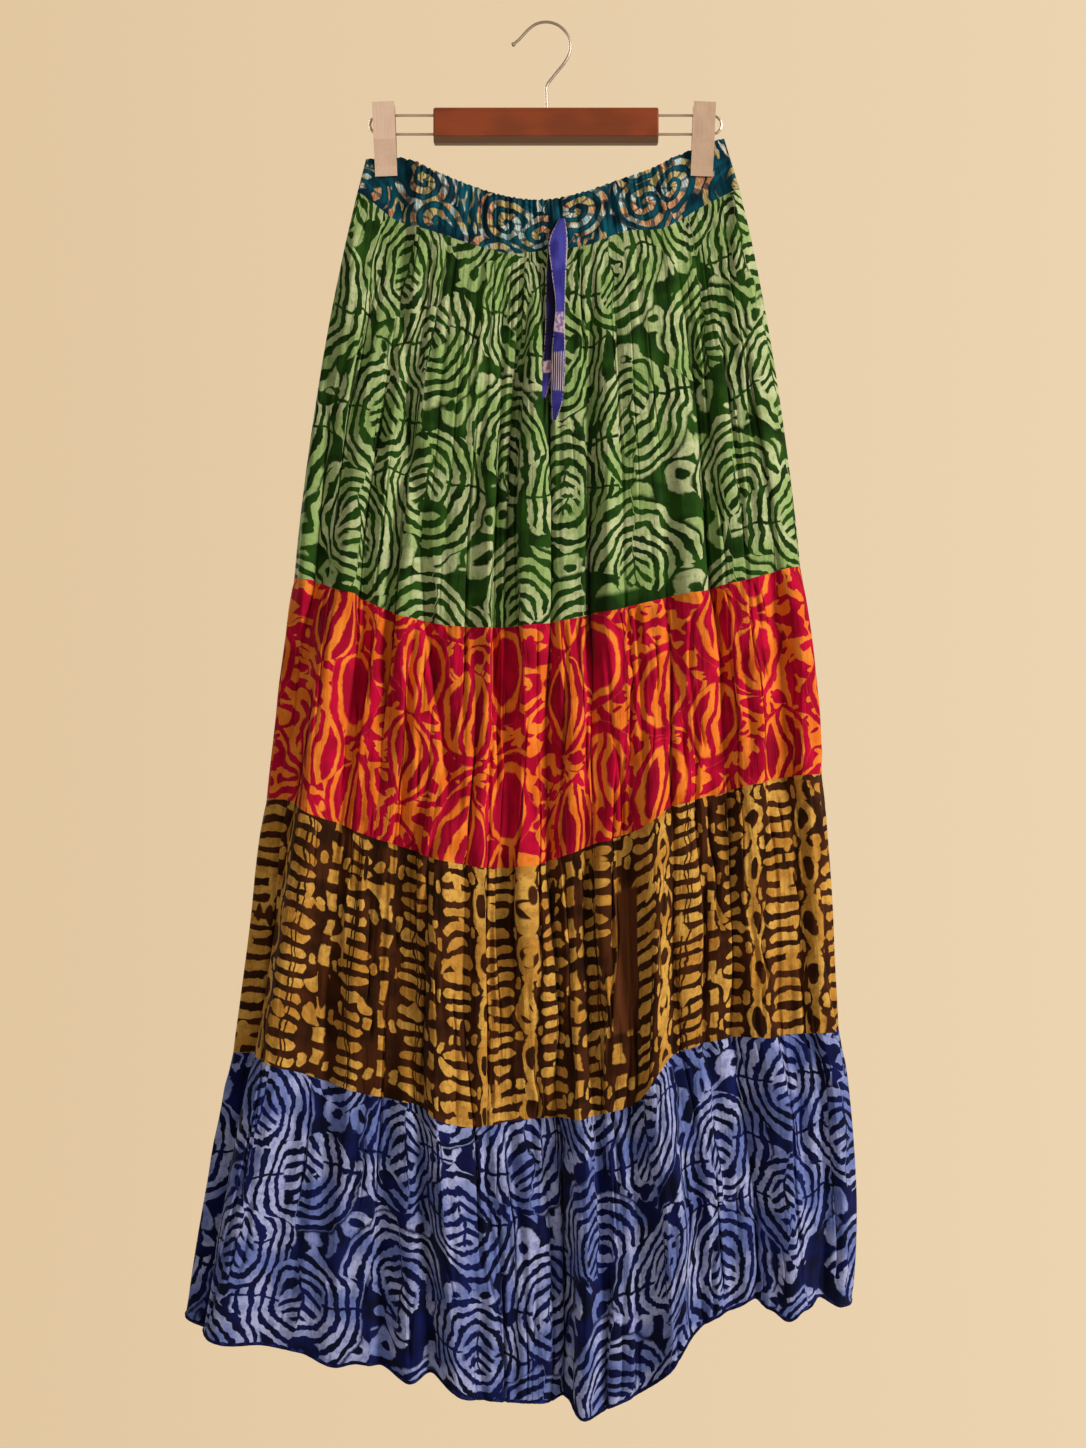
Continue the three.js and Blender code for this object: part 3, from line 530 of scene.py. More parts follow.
class Field:
    """A number that varies over a surface, kept as a node's socket; a print is then a formula."""

    def __init__(self, tree, socket):
        self.tree, self.socket = tree, socket

    def math(self, kind, *others):
        node = add_node(self.tree, "Math")
        node.operation = kind
        feed(self.tree, node.inputs, (self, *others))
        return Field(self.tree, node.outputs[0])

    def __add__(self, other):
        return self.math("ADD", other)

    def __sub__(self, other):
        return self.math("SUBTRACT", other)

    def __rsub__(self, other):
        return self.math("MULTIPLY_ADD", -1, other)

    def __mul__(self, other):
        return self.math("MULTIPLY", other)

    def __truediv__(self, other):
        return self.math("DIVIDE", other)

    __radd__, __rmul__ = __add__, __mul__

    def __pow__(self, power):
        return self.math("POWER", power)

    def __abs__(self):
        return self.math("ABSOLUTE")

    def root(self):
        return self.math("SQRT")

    def floor(self):
        return self.math("FLOOR")

    def sine(self):
        return self.math("SINE")

    def wave(self):
        """A sine wave with one cycle a unit."""
        return (self * (2 * math.pi)).sine()

    def step(self, low, high):
        """0 below low and 1 above high, or the other way round where low is the greater."""
        node = add_node(self.tree, "MapRange")
        node.interpolation_type = "SMOOTHSTEP"
        ends = (high, low, 1, 0) if low > high else (low, high, 0, 1)
        feed(self.tree, node.inputs, (self, *ends))
        return Field(self.tree, node.outputs[0])

    def band(self, start, end, soft):
        """1 between two limits and 0 outside them, with soft edges on both."""
        return self.step(start - soft, start + soft) * self.step(end + soft, end - soft)

    def either(self, other):
        return self.math("MAXIMUM", other)

    def both(self, other):
        return self.math("MINIMUM", other)


def distance(across, along):
    """How far a place is from the middle."""
    return (across ** 2 + along ** 2).root()


class Paint:
    """A material's tree, with the flat place of the cloth in millimetres."""

    def __init__(self, name, roughness, sheen=0, coat=0, metal=0, gloss=0.5):
        self.material = bpy.data.materials.new(name)
        self.material.use_nodes = True
        self.tree = self.material.node_tree
        self.join = self.tree.links.new
        self.shader = self.tree.nodes["Principled BSDF"]
        self.shader.inputs["Roughness"].default_value = roughness
        self.shader.inputs["Sheen Weight"].default_value = sheen
        self.shader.inputs["Coat Weight"].default_value = coat
        self.shader.inputs["Metallic"].default_value = metal
        self.shader.inputs["Specular IOR Level"].default_value = gloss

    def place(self, layer="cloth", size=1000):
        node = add_node(self.tree, "UVMap")
        node.uv_map = layer
        parts = add_node(self.tree, "SeparateXYZ")
        self.join(node.outputs[0], parts.inputs[0])
        return [Field(self.tree, parts.outputs[k]) * size for k in (0, 1)]

    def solid_place(self, size=1000):
        node = add_node(self.tree, "TexCoord")
        parts = add_node(self.tree, "SeparateXYZ")
        self.join(node.outputs["Object"], parts.inputs[0])
        return [Field(self.tree, parts.outputs[k]) * size for k in range(3)]

    def vector(self, x, y, z=0):
        node = add_node(self.tree, "CombineXYZ")
        feed(self.tree, node.inputs, (x, y, z))
        return node.outputs[0]

    def noise(self, x, y, z=0, detail=1, rough=0.5, both=False):
        """Soft noise from 0 to 1 with spots about one unit across; two where both is set."""
        node = add_node(self.tree, "TexNoise")
        self.join(self.vector(x, y, z), node.inputs["Vector"])
        node.inputs["Scale"].default_value = 1
        node.inputs["Detail"].default_value = detail
        node.inputs["Roughness"].default_value = rough
        if not both:
            return Field(self.tree, node.outputs[0])
        parts = add_node(self.tree, "SeparateColor")
        self.join(node.outputs["Color"], parts.inputs[0])
        return [Field(self.tree, parts.outputs[k]) for k in (0, 1)]

    def cells(self, x, y, uneven):
        """The nearest point of an uneven grid: its x and y, and a steady number of its own."""
        node = add_node(self.tree, "TexVoronoi")
        node.voronoi_dimensions = "2D"
        self.join(self.vector(x, y), node.inputs["Vector"])
        node.inputs["Scale"].default_value = 1
        node.inputs["Randomness"].default_value = uneven
        spot = add_node(self.tree, "SeparateXYZ")
        self.join(node.outputs["Position"], spot.inputs[0])
        own = add_node(self.tree, "SeparateColor")
        self.join(node.outputs["Color"], own.inputs[0])
        return [Field(self.tree, socket) for socket in (*spot.outputs[:2], own.outputs[0])]

    def mix(self, share, first, second):
        node = add_node(self.tree, "Mix")
        node.data_type = "RGBA"
        self.join(share.socket, node.inputs[0])
        for slot, value in ((node.inputs[6], first), (node.inputs[7], second)):
            if isinstance(value, tuple):
                slot.default_value = light_of(value)
            else:
                self.join(value, slot)
        return node.outputs[2]

    def finish(self, base, height=None, depth=0, roughness=None):
        self.join(base, self.shader.inputs["Base Color"])
        if roughness is not None:
            self.join(roughness.socket, self.shader.inputs["Roughness"])
        if height is not None:
            node = add_node(self.tree, "Bump")
            node.inputs["Distance"].default_value = depth * MM
            self.join(height.socket, node.inputs["Height"])
            self.join(node.outputs[0], self.shader.inputs["Normal"])
        return self.material


def cloth_paint(name, look, roughness=0.85, gloss=0.08):
    """A cloth's paint, the place on it in mm, and that place drawn by hand."""
    paint = Paint(name, roughness=roughness, sheen=0.03, gloss=gloss)
    u, v = paint.place()
    return paint, u, v, *drawn(paint, u, v, look["loose"], look["shaky"])


def crepe(paint, u, v):
    """The relief of the thin crinkled cloth: its fine vertical crinkle and its weave."""
    crinkle = paint.noise(u / 1.6, v / 14, detail=2)
    puckers = paint.noise(u / 4.5, v / 30, 3)
    threads = (u * 7).sine() * (v * 7).sine()
    return crinkle * 0.8 + puckers * 2.4 + threads * 0.05


def drawn(paint, u, v, loose, shaky):
    """The place again, moved about as a hand-drawn wax line is."""
    far_u, far_v = paint.noise(u / 34, v / 34, 1, both=True)
    near_u, near_v = paint.noise(u / 5.5, v / 5.5, 2, both=True)
    moved_u = u + (far_u - 0.5) * loose + (near_u - 0.5) * shaky
    moved_v = v + (far_v - 0.5) * loose + (near_v - 0.5) * shaky
    return moved_u, moved_v


def staggered(paint, u, v, across, along, uneven):
    """The nearest of a staggered grid of motifs: the way from its middle, in mm, and its number."""
    a, b = u / across, v / along
    x, y, own = paint.cells(a + b, b - a, uneven)
    return u - (x - y) * (across / 2), v - (x + y) * (along / 2), own


def dyed(paint, u, v, ground, wax):
    """The uneven ground dye and the blotchy, cracked marks that the wax kept from it."""
    cloud = paint.noise(u / 26, v / 26, 5, detail=2)
    blotch = paint.noise(u / 7, v / 7, 6, detail=3, rough=0.65)
    flow = paint.noise(u / 48, v / 48, 8)
    cracks = paint.noise(u / 1.9, v / 5.5, 7, detail=2, rough=0.7)
    ground_dye = paint.mix(cloud.step(0.35, 0.65), ground[0], ground[1])
    marks = paint.mix(flow.step(0.4, 0.6), wax[1], wax[2])
    marks = paint.mix(blotch.step(0.42, 0.66) * 0.5, marks, wax[0])
    marks = paint.mix(cracks.step(0.58, 0.72) * 0.4, marks, ground[1])
    return ground_dye, marks


def undyed_strip(paint, plain):
    """0 on the front's plain strip, where a printed length ended, and 1 elsewhere."""
    left, right, top, foot = plain
    across, down = paint.place("fit", 1)
    in_front = paint.solid_place()[1].step(1, -1)
    here = across.step(left - 0.002, left) * across.step(right + 0.002, right) * in_front
    return 1 - here * down.band(top, foot, 0.01)


def ring_print(name, look):
    """Rings round a veined core, staggered, with donuts between them, on a dyed ground."""
    paint, u, v, x, y = cloth_paint(name, look)
    du, dv, own = staggered(paint, x, y, *look["grid"], 0.4)
    side = abs(du)
    dv = dv + du.step(-0.6, 0.6) * (own - 0.5) * look["slip"]
    dv = dv + own.step(0.62, 0.64) * (look["tall"] * 0.55)
    radius = distance(du / look["wide"], dv / look["tall"])
    angle = dv.math("ARCTAN2", du)
    scallop = (angle * 30).sine() * look["scallop"]
    turns = radius * look["rings"] + own * 0.4
    rings = (turns.wave() + scallop).step(-0.26, 0.06)
    rings = rings * radius.step(1.25, 1.2)
    veins = (dv / look["vein"] + side / (look["vein"] * 1.35)).wave()
    veins = veins.step(-0.25, 0.1) * side.step(0.7, 1.6)
    core = radius.step(look["core"] + 0.03, look["core"] - 0.03)
    strokes = rings + (veins - rings) * core
    between = radius.step(1.24, 1.3)
    bead_x, bead_y = x / look["bead"], y / look["bead"]
    nearest_x, nearest_y, _ = paint.cells(bead_x, bead_y, 0.55)
    near = distance(bead_x - nearest_x, bead_y - nearest_y)
    near = near + (paint.noise(x / 4, y / 4, 9) - 0.5) * 0.08
    donut = near.step(0.37, 0.33) * near.step(0.11, 0.15)
    strokes = strokes.either(donut * between)
    seam_line = abs(dv).step(0.8, 1.6)
    strokes = strokes * seam_line.either(core).either(own.step(0.5, 0.52))
    bleach = paint.noise(u / 30, v / 22, 11)
    strokes = strokes.either(bleach.step(0.66, 0.68) * between.either(rings))
    strokes = strokes * paint.noise(u / 36, v / 30, 13).step(0.29, 0.31)
    if "plain" in look:
        strokes = strokes * undyed_strip(paint, look["plain"])
    ground, marks = dyed(paint, u, v, look["ground"], look["wax"])
    return paint.finish(paint.mix(strokes, ground, marks), crepe(paint, u, v), 0.5)


def almond_print(name, look):
    """Split almonds among loops, curls and dots, in two dyes of about equal weight."""
    paint, u, v, x, y = cloth_paint(name, look, 0.82)
    du, dv, own = staggered(paint, x, y, *look["grid"], 0.45)
    wide, tall = look["pointed"]
    pointed = abs(du) / wide + (dv / tall) ** 2
    wide, tall = look["oval"]
    oval = distance(du / wide, dv / tall)
    lens = oval + (pointed - oval) * own.step(0.55, 0.6)
    outline = lens.step(1.04, 0.99) * lens.step(0.8, 0.85)
    core = lens.step(0.7, 0.65)
    sway = abs(du + (dv / 13 + own * 6).sine() * look["sway"])
    swayed = own.step(0.16, 0.18)
    stripe = sway.step(9.6, 8.4) * swayed
    line = sway.step(3, 2.2) * swayed
    inside = lens.step(1.02, 0.98)
    loops = paint.noise(x / 37, y / 30, 15, detail=0)
    curls = (loops * 27).sine().step(-0.42, -0.24)
    dots = paint.noise(x / 12, y / 9.5, 17, detail=0)
    curls = curls.both(dots.step(0.62, 0.59)).either(dots.step(0.33, 0.3))
    red = (core * (1 - stripe)).either(line * inside).either(outline)
    red = red.either(curls * (1 - inside))
    cloud = paint.noise(u / 24, v / 30, 5, detail=2)
    fine = paint.noise(u / 6, v / 6, 6, detail=3)
    crimson = paint.mix(cloud.step(0.42, 0.62), look["ground"][0], look["ground"][1])
    crimson = paint.mix(core * own.step(0.3, 0.6) * 0.45, crimson, look["ground"][2])
    orange = paint.mix(cloud.step(0.35, 0.65), look["wax"][0], look["wax"][1])
    orange = paint.mix(fine.step(0.55, 0.8) * 0.6, orange, look["wax"][2])
    return paint.finish(paint.mix(red, orange, crimson), crepe(paint, u, v), 0.6)


def ladder_print(name, look):
    """Columns of rounded bars between columns of linked diamonds, dashes and dots."""
    paint, u, v, x, y = cloth_paint(name, look)
    pitch, link_long = look["column"], look["link"]
    column = x / pitch
    number = column.floor()
    across = (column - number - 0.5) * pitch
    own = abs(((number * SCATTER).sine() * 43.7).math("FRACT"))
    ladder_side = abs(across + pitch * look["ladder_at"])
    narrowest, spread = look["ladder_wide"]
    width = paint.noise(number * 3.7, y / 26, 19) * spread + narrowest
    bars = (y / look["bar"] + own).wave()
    bars = bars + (paint.noise(x / 9, y / 9, 27) - 0.5) * 0.7
    ends = (ladder_side - width).step(-4, 1) * 1.5
    bars = (bars - ends).step(-0.38, -0.05)
    spine = abs(ladder_side - width * 0.12).step(0.5, 1.2)
    bars = bars * spine.either(own.step(0.5, 0.48))
    chain = across - pitch * look["chain_at"]
    chain_side = abs(chain)
    link = y / link_long + own * 0.7
    along = (link - link.floor() - 0.5) * link_long
    off_middle = abs(along)
    diamond = distance(chain / look["diamond"], along / (link_long * 0.4))
    cross = abs(chain_side - (link_long / 2 - off_middle) * 0.5)
    cross = cross.step(3.4, 2.4) * off_middle.step(link_long * 0.34, link_long * 0.36)
    links = (diamond.step(1, 0.92) * diamond.step(0.5, 0.58)).either(cross)
    links = links * own.step(0.62, 0.6)
    dash = chain_side.step(4.8, 3.6) * (link * 2).wave().step(-0.5, -0.2)
    dash = dash * own.step(0.6, 0.62)
    corner_x = chain_side - 10.5
    corner_y = link_long / 2 - off_middle - 2
    dots = (corner_x * corner_x + corner_y * corner_y).step(15, 9)
    strokes = bars.either(links).either(dots).either(dash)
    merged = paint.noise(u / 24, v / 26, 11)
    strokes = strokes.either(merged.step(0.64, 0.655))
    strokes = strokes * paint.noise(u / 18, v / 60, 13).step(0.31, 0.33)
    plain = undyed_strip(paint, look["plain"])
    ground, marks = dyed(paint, u, v, look["ground"], look["wax"])
    ground = paint.mix(plain, look["strip"], ground)
    return paint.finish(paint.mix(strokes * plain, ground, marks), crepe(paint, u, v), 0.6)


def spiral_print(name, look):
    """Spirals of short segments and upright dashes, drawn together by the elastic of the band."""
    paint, u, v, x, y = cloth_paint(name, look, 0.82, 0.1)
    du, dv, own = staggered(paint, x, y, *look["grid"], 0.7)
    du = du * look["squeeze"]
    reach = look["reach"]
    radius = (du * du + dv * dv).root()
    angle = dv.math("ARCTAN2", du)
    arm = (radius / look["pitch"] + angle / (2 * math.pi) + own).wave()
    spiral = arm.step(-0.25, 0) * radius.step(reach, reach - 1)
    ticks = (angle * 9 + radius * 0.1).sine().step(0.45, 0.7)
    spiral = spiral * (1 - ticks * 0.75)
    dash = paint.noise(x / 4.2, y / 13, 21, detail=0)
    outside = radius.step(reach, reach + 1.5)
    dashes = dash.step(0.56, 0.6) * outside
    inner = arm.step(0.05, 0.3) * 0.9
    inner = inner.either(dash.step(0.61, 0.66) * outside * 0.8)
    shade = arm.step(-0.85, -0.5) * radius.step(reach + 2, reach)
    hatch = (x * 2.6 + y * 0.7).sine().step(-0.4, 0.2)
    rest = paint.noise(u / 24, v / 30, 29).step(0.36, 0.4)
    ground = paint.mix(paint.noise(u / 20, v / 20, 5).step(0.35, 0.6), *look["ground"])
    ground = paint.mix(shade * 0.55, ground, look["shade"])
    warm = paint.mix(paint.noise(u / 9, v / 9, 6, detail=2).step(0.4, 0.6), *look["warm"])
    cool = paint.mix(paint.noise(u / 8, v / 8, 8, detail=2).step(0.4, 0.6), *look["cool"])
    filling = paint.noise(u / 30, v / 24, 23, detail=0).step(0.45, 0.51)
    filling = paint.mix(filling, warm, cool)
    golden = paint.noise(u / 26, v / 20, 33, detail=0).step(0.55, 0.6)
    filling = paint.mix(golden, filling, look["golden"])
    filling = paint.mix(hatch * 0.4, filling, look["hatch"])
    ink = paint.mix(inner, look["rim"], filling)
    strokes = spiral.either(dashes) * rest
    return paint.finish(paint.mix(strokes, ground, ink), crepe(paint, u, v), 0.5)


def tie_print(name, look):
    """Dye with pale patches and stripes along the tie, and pale stitching on both edges; the upper
    colours of the short end are partly painted shade.
    """
    paint, u, v, x, y = cloth_paint(name, look, 0.78, 0.15)
    share, _ = paint.place("fit", 1)
    run = y * -1
    cloud = paint.noise(u / 14, v / 22, 5)
    # For the short end the top colours are partly its darker side and partly painted shade where
    # the long end lies over it.
    dye = paint.mix(cloud.step(0.4, 0.6), *look["top"])
    low = paint.mix(cloud.step(0.4, 0.6), *look["foot"])
    turns = look["turns"]
    dye = paint.mix(run.step(turns - 8, turns + 8), dye, low)
    for start, end in look["patches"]:
        here = run.band(start, end, 1)
        blot = paint.noise(x / 3, y / 4, 9 + start, detail=2).step(0.42, 0.56)
        dye = paint.mix(here, dye, paint.mix(blot, *look["patch"]))
    for start, end in look["stripes"]:
        here = run.band(start, end, 1)
        dye = paint.mix(here * (u * 3.4).sine().step(0.3, 0.6), dye, look["pale"])
    edge = abs(share - 0.5)
    stitch = edge.step(0.4, 0.42) * edge.step(0.48, 0.46) * (v * 1.9).sine().step(0.2, 0.5)
    frayed = edge.step(0.44, 0.47) * paint.noise(u / 3, v / 5, 31).step(0.4, 0.48)
    dye = paint.mix((stitch * 0.4).either(frayed * 0.9), dye, look["pale"])
    return paint.finish(dye, crepe(paint, u, v), 0.4)


def plain_cloth(name, colours):
    paint = Paint(name, roughness=0.85, sheen=0.03, gloss=0.08)
    u, v = paint.place()
    cloud = paint.noise(u / 7, v / 7, 5, detail=2)
    return paint.finish(paint.mix(cloud.step(0.45, 0.7), *colours), crepe(paint, u, v), 0.3)


# The bar's varnish, its grain, pores and worn edges, a duller grey-brown painted as shade on its
# bottom face, and how far below the hook's seat that painted shade starts.
WOOD = {
    "varnish": ((96, 30, 5), (130, 50, 12)), "grain": (64, 21, 8), "pores": (52, 18, 8),
    "worn": (150, 76, 38), "painted_underside_shade": (104, 76, 52), "painted_shade_level": -99.4,
}


def varnished_wood(name):
    """Red-brown varnish over fine straight grain, worn paler at the edges, painted shade beneath.
    """
    paint = Paint(name, roughness=0.46, coat=0.06, gloss=0.3)
    x, y, z = paint.solid_place()
    grain = paint.noise(x / 60, y / 2.2, z / 1.6, detail=3, rough=0.6)
    pores = paint.noise(x / 16, y / 0.7, z / 0.7)
    cloud = paint.noise(x / 45, y / 30, z / 24)
    wood = paint.mix(cloud.step(0.35, 0.65), *WOOD["varnish"])
    wood = paint.mix(grain.step(0.45, 0.75) * 0.45, wood, WOOD["grain"])
    wood = paint.mix(pores.step(0.68, 0.76) * 0.35, wood, WOOD["pores"])
    node = add_node(paint.tree, "NewGeometry")
    worn = Field(paint.tree, node.outputs["Pointiness"]).step(0.52, 0.6)
    wood = paint.mix(worn * 0.35, wood, WOOD["worn"])
    # Painted shade: below this level the wood takes a duller grey-brown, the look of its bottom
    # face in shade.
    below = WOOD["painted_shade_level"]
    wood = paint.mix(z.step(below + 0.4, below - 0.4), wood, WOOD["painted_underside_shade"])
    return paint.finish(wood, grain + pores * 0.4, 0.12, cloud * 0.12 + 0.38)


def brushed_metal(name, colours, roughness, along):
    """Bare metal with faint marks of its finishing along one axis."""
    paint = Paint(name, roughness=roughness, metal=1)
    place = paint.solid_place()
    place = [field / (26 if axis == along else 0.35) for axis, field in zip("xyz", place)]
    marks = paint.noise(*place, detail=2)
    smudge = paint.noise(*(field / 11 for field in paint.solid_place()))
    shade = paint.mix(marks.step(0.3, 0.7) * 0.5 + smudge * 0.3, *colours)
    return paint.finish(shade, marks, 0.02, smudge * 0.14 + (roughness - 0.07))


GREEN = {
    "grid": (168, 118), "wide": 48, "tall": 58, "rings": 5.2, "core": 0.38, "vein": 11.5,
    "bead": 40, "scallop": 0.12, "loose": 22, "shaky": 3, "slip": 62,
    "ground": ((16, 40, 6), (34, 70, 14)),
    "wax": ((122, 148, 72), (146, 170, 106), (184, 192, 146)), "plain": (0.6, 0.7, 0.955, 1.1),
}
BLUE = {
    "grid": (168, 108), "wide": 46, "tall": 52, "rings": 4.9, "core": 0.4, "vein": 11.5,
    "bead": 38, "scallop": 0.18, "loose": 20, "shaky": 3.2, "slip": 54,
    "ground": ((4, 8, 34), (12, 20, 74)),
    "wax": ((66, 84, 146), (104, 118, 178), (164, 170, 212)),
}
RED = {
    "grid": (136, 96), "loose": 17, "shaky": 2.8, "pointed": (32, 45),
    "oval": (33, 41), "sway": 4.5,
    "ground": ((158, 0, 40), (188, 4, 52), (104, 0, 22)),
    "wax": ((220, 106, 28), (232, 132, 46), (194, 76, 32)),
}
BROWN = {
    "column": 64, "bar": 13.2, "link": 44, "loose": 16, "shaky": 3,
    "ladder_at": 0.2, "ladder_wide": (6, 22), "chain_at": 0.31, "diamond": 11,
    "ground": ((38, 16, 3), (66, 31, 9)),
    "wax": ((146, 90, 36), (184, 132, 52), (208, 160, 74)),
    "plain": (0.632, 0.672, 0.2, 0.72), "strip": (84, 44, 20),
}
BAND = {
    "grid": (96, 58), "loose": 11, "shaky": 2.6, "squeeze": 0.72, "pitch": 9.5, "reach": 25,
    "ground": ((0, 36, 52), (0, 74, 90)),
    "warm": ((222, 176, 134), (188, 120, 82)),
    "cool": ((214, 226, 222), (148, 190, 200)), "golden": (196, 176, 116),
    "hatch": (66, 48, 34), "rim": (150, 132, 88), "shade": (0, 20, 34),
}
TIE_LONG_LOOK = {
    "top": ((46, 42, 128), (68, 66, 158)), "foot": ((36, 32, 108), (58, 54, 140)), "turns": 90,
    "patches": [(82, 99)], "patch": ((190, 166, 176), (120, 100, 150)),
    "stripes": [(116, 148)], "pale": (204, 186, 178), "loose": 4, "shaky": 2,
}
# The short end's top colours are partly the cloth's darker side and partly painted shade, where the
# long end lies over it; below turns it is lighter.
TIE_SHORT_LOOK = {
    "top": ((14, 12, 46), (26, 22, 76)), "foot": ((44, 34, 110), (66, 54, 140)), "turns": 124,
    "patches": [(112, 123)], "patch": ((196, 164, 164), (140, 112, 140)),
    "stripes": [], "pale": (196, 170, 160), "loose": 4, "shaky": 2,
}

CLOTHS = {
    "band_cloth": spiral_print("band_print", BAND),
    "green_cloth": ring_print("green_print", GREEN),
    "red_cloth": almond_print("red_print", RED),
    "brown_cloth": ladder_print("brown_print", BROWN),
    "blue_cloth": ring_print("blue_print", BLUE),
    "hem": plain_cloth("hem_dye", ((6, 10, 44), (30, 40, 104))),
}


def dress(piece, material):
    piece.data.materials.append(material)
    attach(piece, "root")


def ruffle(thread, down):
    """The small waves of the casing's top edge, drawn up between the elastic's stitches."""
    near_top = 1 - smooth(0, 0.16, down)
    wave = np.sin(2 * math.pi * 52 * thread + 2 * np.sin(2 * math.pi * 5 * thread))
    finer = np.sin(2 * math.pi * 83 * thread + 1.3)
    lift = near_top * within(thread, 0, 1, SIDE_CALM) * (0.4 * wave + 0.2 * finer)
    return np.stack([0 * lift, 0 * lift, lift], axis=-1)


def rolled_hem(name, tier, facing):
    """The narrow rolled hem, a small tube along the lowest row of the tier."""
    sides, radius = 8, 1
    places = np.empty(len(tier.data.vertices) * 3)
    tier.data.vertices.foreach_get("co", places)
    row = places.reshape(-1, COLUMNS + 1, 3)[-1] / MM
    turn = np.linspace(0, 2 * math.pi, sides + 1)
    along = np.gradient(row, axis=0)
    along /= np.linalg.norm(along, axis=1, keepdims=True)
    up = np.array([0, 0, 1]) - along * along[:, 2:]
    up /= np.linalg.norm(up, axis=1, keepdims=True)
    outward = np.cross(along, up)
    count = np.arange(len(row))[:, None]
    thick = radius * (1 + 0.18 * np.sin(count * 0.9) * np.sin(count * 0.31))
    around = [1.5 * up * (math.cos(a) + 0.6) + 0.8 * outward * math.sin(a) for a in turn]
    points = np.stack([row + thick * way for way in around])
    uv = np.stack(np.meshgrid(run_along(row), turn * radius * 1.2), axis=-1)
    fit = np.stack(np.meshgrid(np.linspace(0, 1, len(row)), turn / (2 * math.pi)), axis=-1)
    hem = grid_mesh(name, points, uv, fit, flip=facing > 0)
    dress(hem, CLOTHS["hem"])
    return hem


def dress_cloth():
    made = {}
    for half in HALVES:
        side = half[0]
        band = panel(f"waistband_{side}_cloth", 0, half, BAND_ROWS, ruffle)
        parts = [("waistband", "band_cloth", band)]
        for index, (tier, slot, *_) in enumerate(TIERS):
            parts.append((tier, slot, panel(f"{tier}_{side}_cloth", index + 1, half, ROWS)))
        for stem, slot, piece in parts:
            dress(piece, CLOTHS[slot])
            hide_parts(f"{stem}_{side}")
            made[f"{stem}_{side}"] = piece
    return made


def tie(name, table, stem, look):
    """A free end of the drawstring: a flat sewn tube that twists a little as it hangs."""
    rows, around = 48, 20
    keys = np.array(table, float)
    down = np.linspace(keys[0, 0], keys[-1, 0], rows + 1)
    x, half, off, turn = (smooth_through(keys[:, 0], keys[:, k], down) for k in (1, 2, 3, 4))
    waist, seam = DROPS["waist"][5], DROPS["seam1"][5]
    below = np.clip((down - waist) / (seam - waist), 0, None)
    depth = (LEVELS[1][3] + (LEVELS[2][3] - LEVELS[1][3]) * below) * (1 + CROWN)
    angle = np.linspace(0, 2 * math.pi, around + 1)
    reach = np.cos(angle)[None, :] * half[:, None]
    swell = np.sin(angle)[None, :] * np.where(np.abs(np.cos(angle)) > 0.8, 0.42, 0.62)[None, :]
    ripple = 0.5 * np.sin(down / 6.3 + 1)[:, None] * (reach / half[:, None]) ** 2
    turn = np.radians(turn)[:, None]
    px = x[:, None] + reach * np.cos(turn) - swell * np.sin(turn)
    py = -(depth + off)[:, None] + reach * np.sin(turn) + (swell + ripple) * np.cos(turn)
    pz = -down[:, None] + 0.8 * np.sin(down / 9)[:, None] * reach / half[:, None]
    points = np.stack([px, py, pz], axis=-1)
    points[0, :, 2], points[-1, :, 2] = -down[0], -down[-1]
    share = (0.5 + 0.5 * np.cos(angle))[None, :] + 0 * px
    run = (down - down[0])[:, None] + 0 * px
    uv = np.stack([(share - 0.5) * 2 * half[:, None], -run], axis=-1)
    fit = np.stack([share, run / run.max()], axis=-1)
    piece = grid_mesh(name, points, uv, fit, flip=True)
    close_ends(piece)
    dress(piece, tie_print(f"{stem}_print", look))
    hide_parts(stem)
    length = (keys[-1, 0] - keys[0, 0]) * MM
    area = 2 * half.mean() * MM * length
    return piece


def smooth_through(at, values, where):
    """A smooth curve through a table's values, with no overshoot worth seeing."""
    slopes = np.gradient(values, at)
    place = np.clip(np.searchsorted(at, where, side="right") - 1, 0, len(at) - 2)
    span = at[place + 1] - at[place]
    t = (where - at[place]) / span
    a, b = values[place], values[place + 1]
    m, n = slopes[place] * span, slopes[place + 1] * span
    return a + t * (m + t * (3 * (b - a) - 2 * m - n + t * (2 * (a - b) + m + n)))


def close_ends(piece):
    """Welds the tube's long join and fills its two ends."""
    bm = bmesh.new()
    bm.from_mesh(piece.data)
    bmesh.ops.remove_doubles(bm, verts=bm.verts, dist=1e-6)
    bmesh.ops.holes_fill(bm, edges=[e for e in bm.edges if e.is_boundary], sides=0)
    bm.to_mesh(piece.data)
    bm.free()


# The drawstring's two free ends: how far below the hook's seat, the middle, half its width, how
# far it stands off the cloth, and its turn in degrees.
TIE_LONG = [
    (170, 13.6, 2.4, 1.1, 0), (186, 10.8, 7.4, 5.2, 4), (215.5, 10.8, 6.4, 7.4, 8),
    (245.5, 12.2, 4.2, 8.6, 16), (264.5, 11.4, 4.6, 8.8, 6), (286.5, 10.6, 5.8, 8.6, -6),
    (306.5, 10.3, 5.6, 8.4, -10), (327.5, 9.2, 4.8, 8.2, 0), (343.5, 7.1, 1.6, 8, 6),
]
TIE_SHORT = [
    (180.5, 5.2, 2.6, 1.8, 0), (196.5, 4.8, 3.4, 2.8, 6), (235.5, 3.9, 4.4, 4.4, 12),
    (268.5, 3.9, 4.8, 5, 4), (292.5, 2.2, 5.6, 5, -6), (309.5, -2.3, 6.3, 4.8, -8),
    (324.5, -5.6, 5, 4.6, 0),
]


# The hanger's metals: name, two colours, roughness and the axis that its marks run along.
METALS = {
    "hanger_hook": ("polished_wire", ((122, 112, 106), (180, 168, 160)), 0.42, "z"),
    "wire_": ("drawn_wire", ((156, 142, 130), (204, 190, 178)), 0.42, "x"),
    "clip_": ("satin_nickel", ((192, 172, 164), (220, 202, 194)), 0.34, "z"),
}


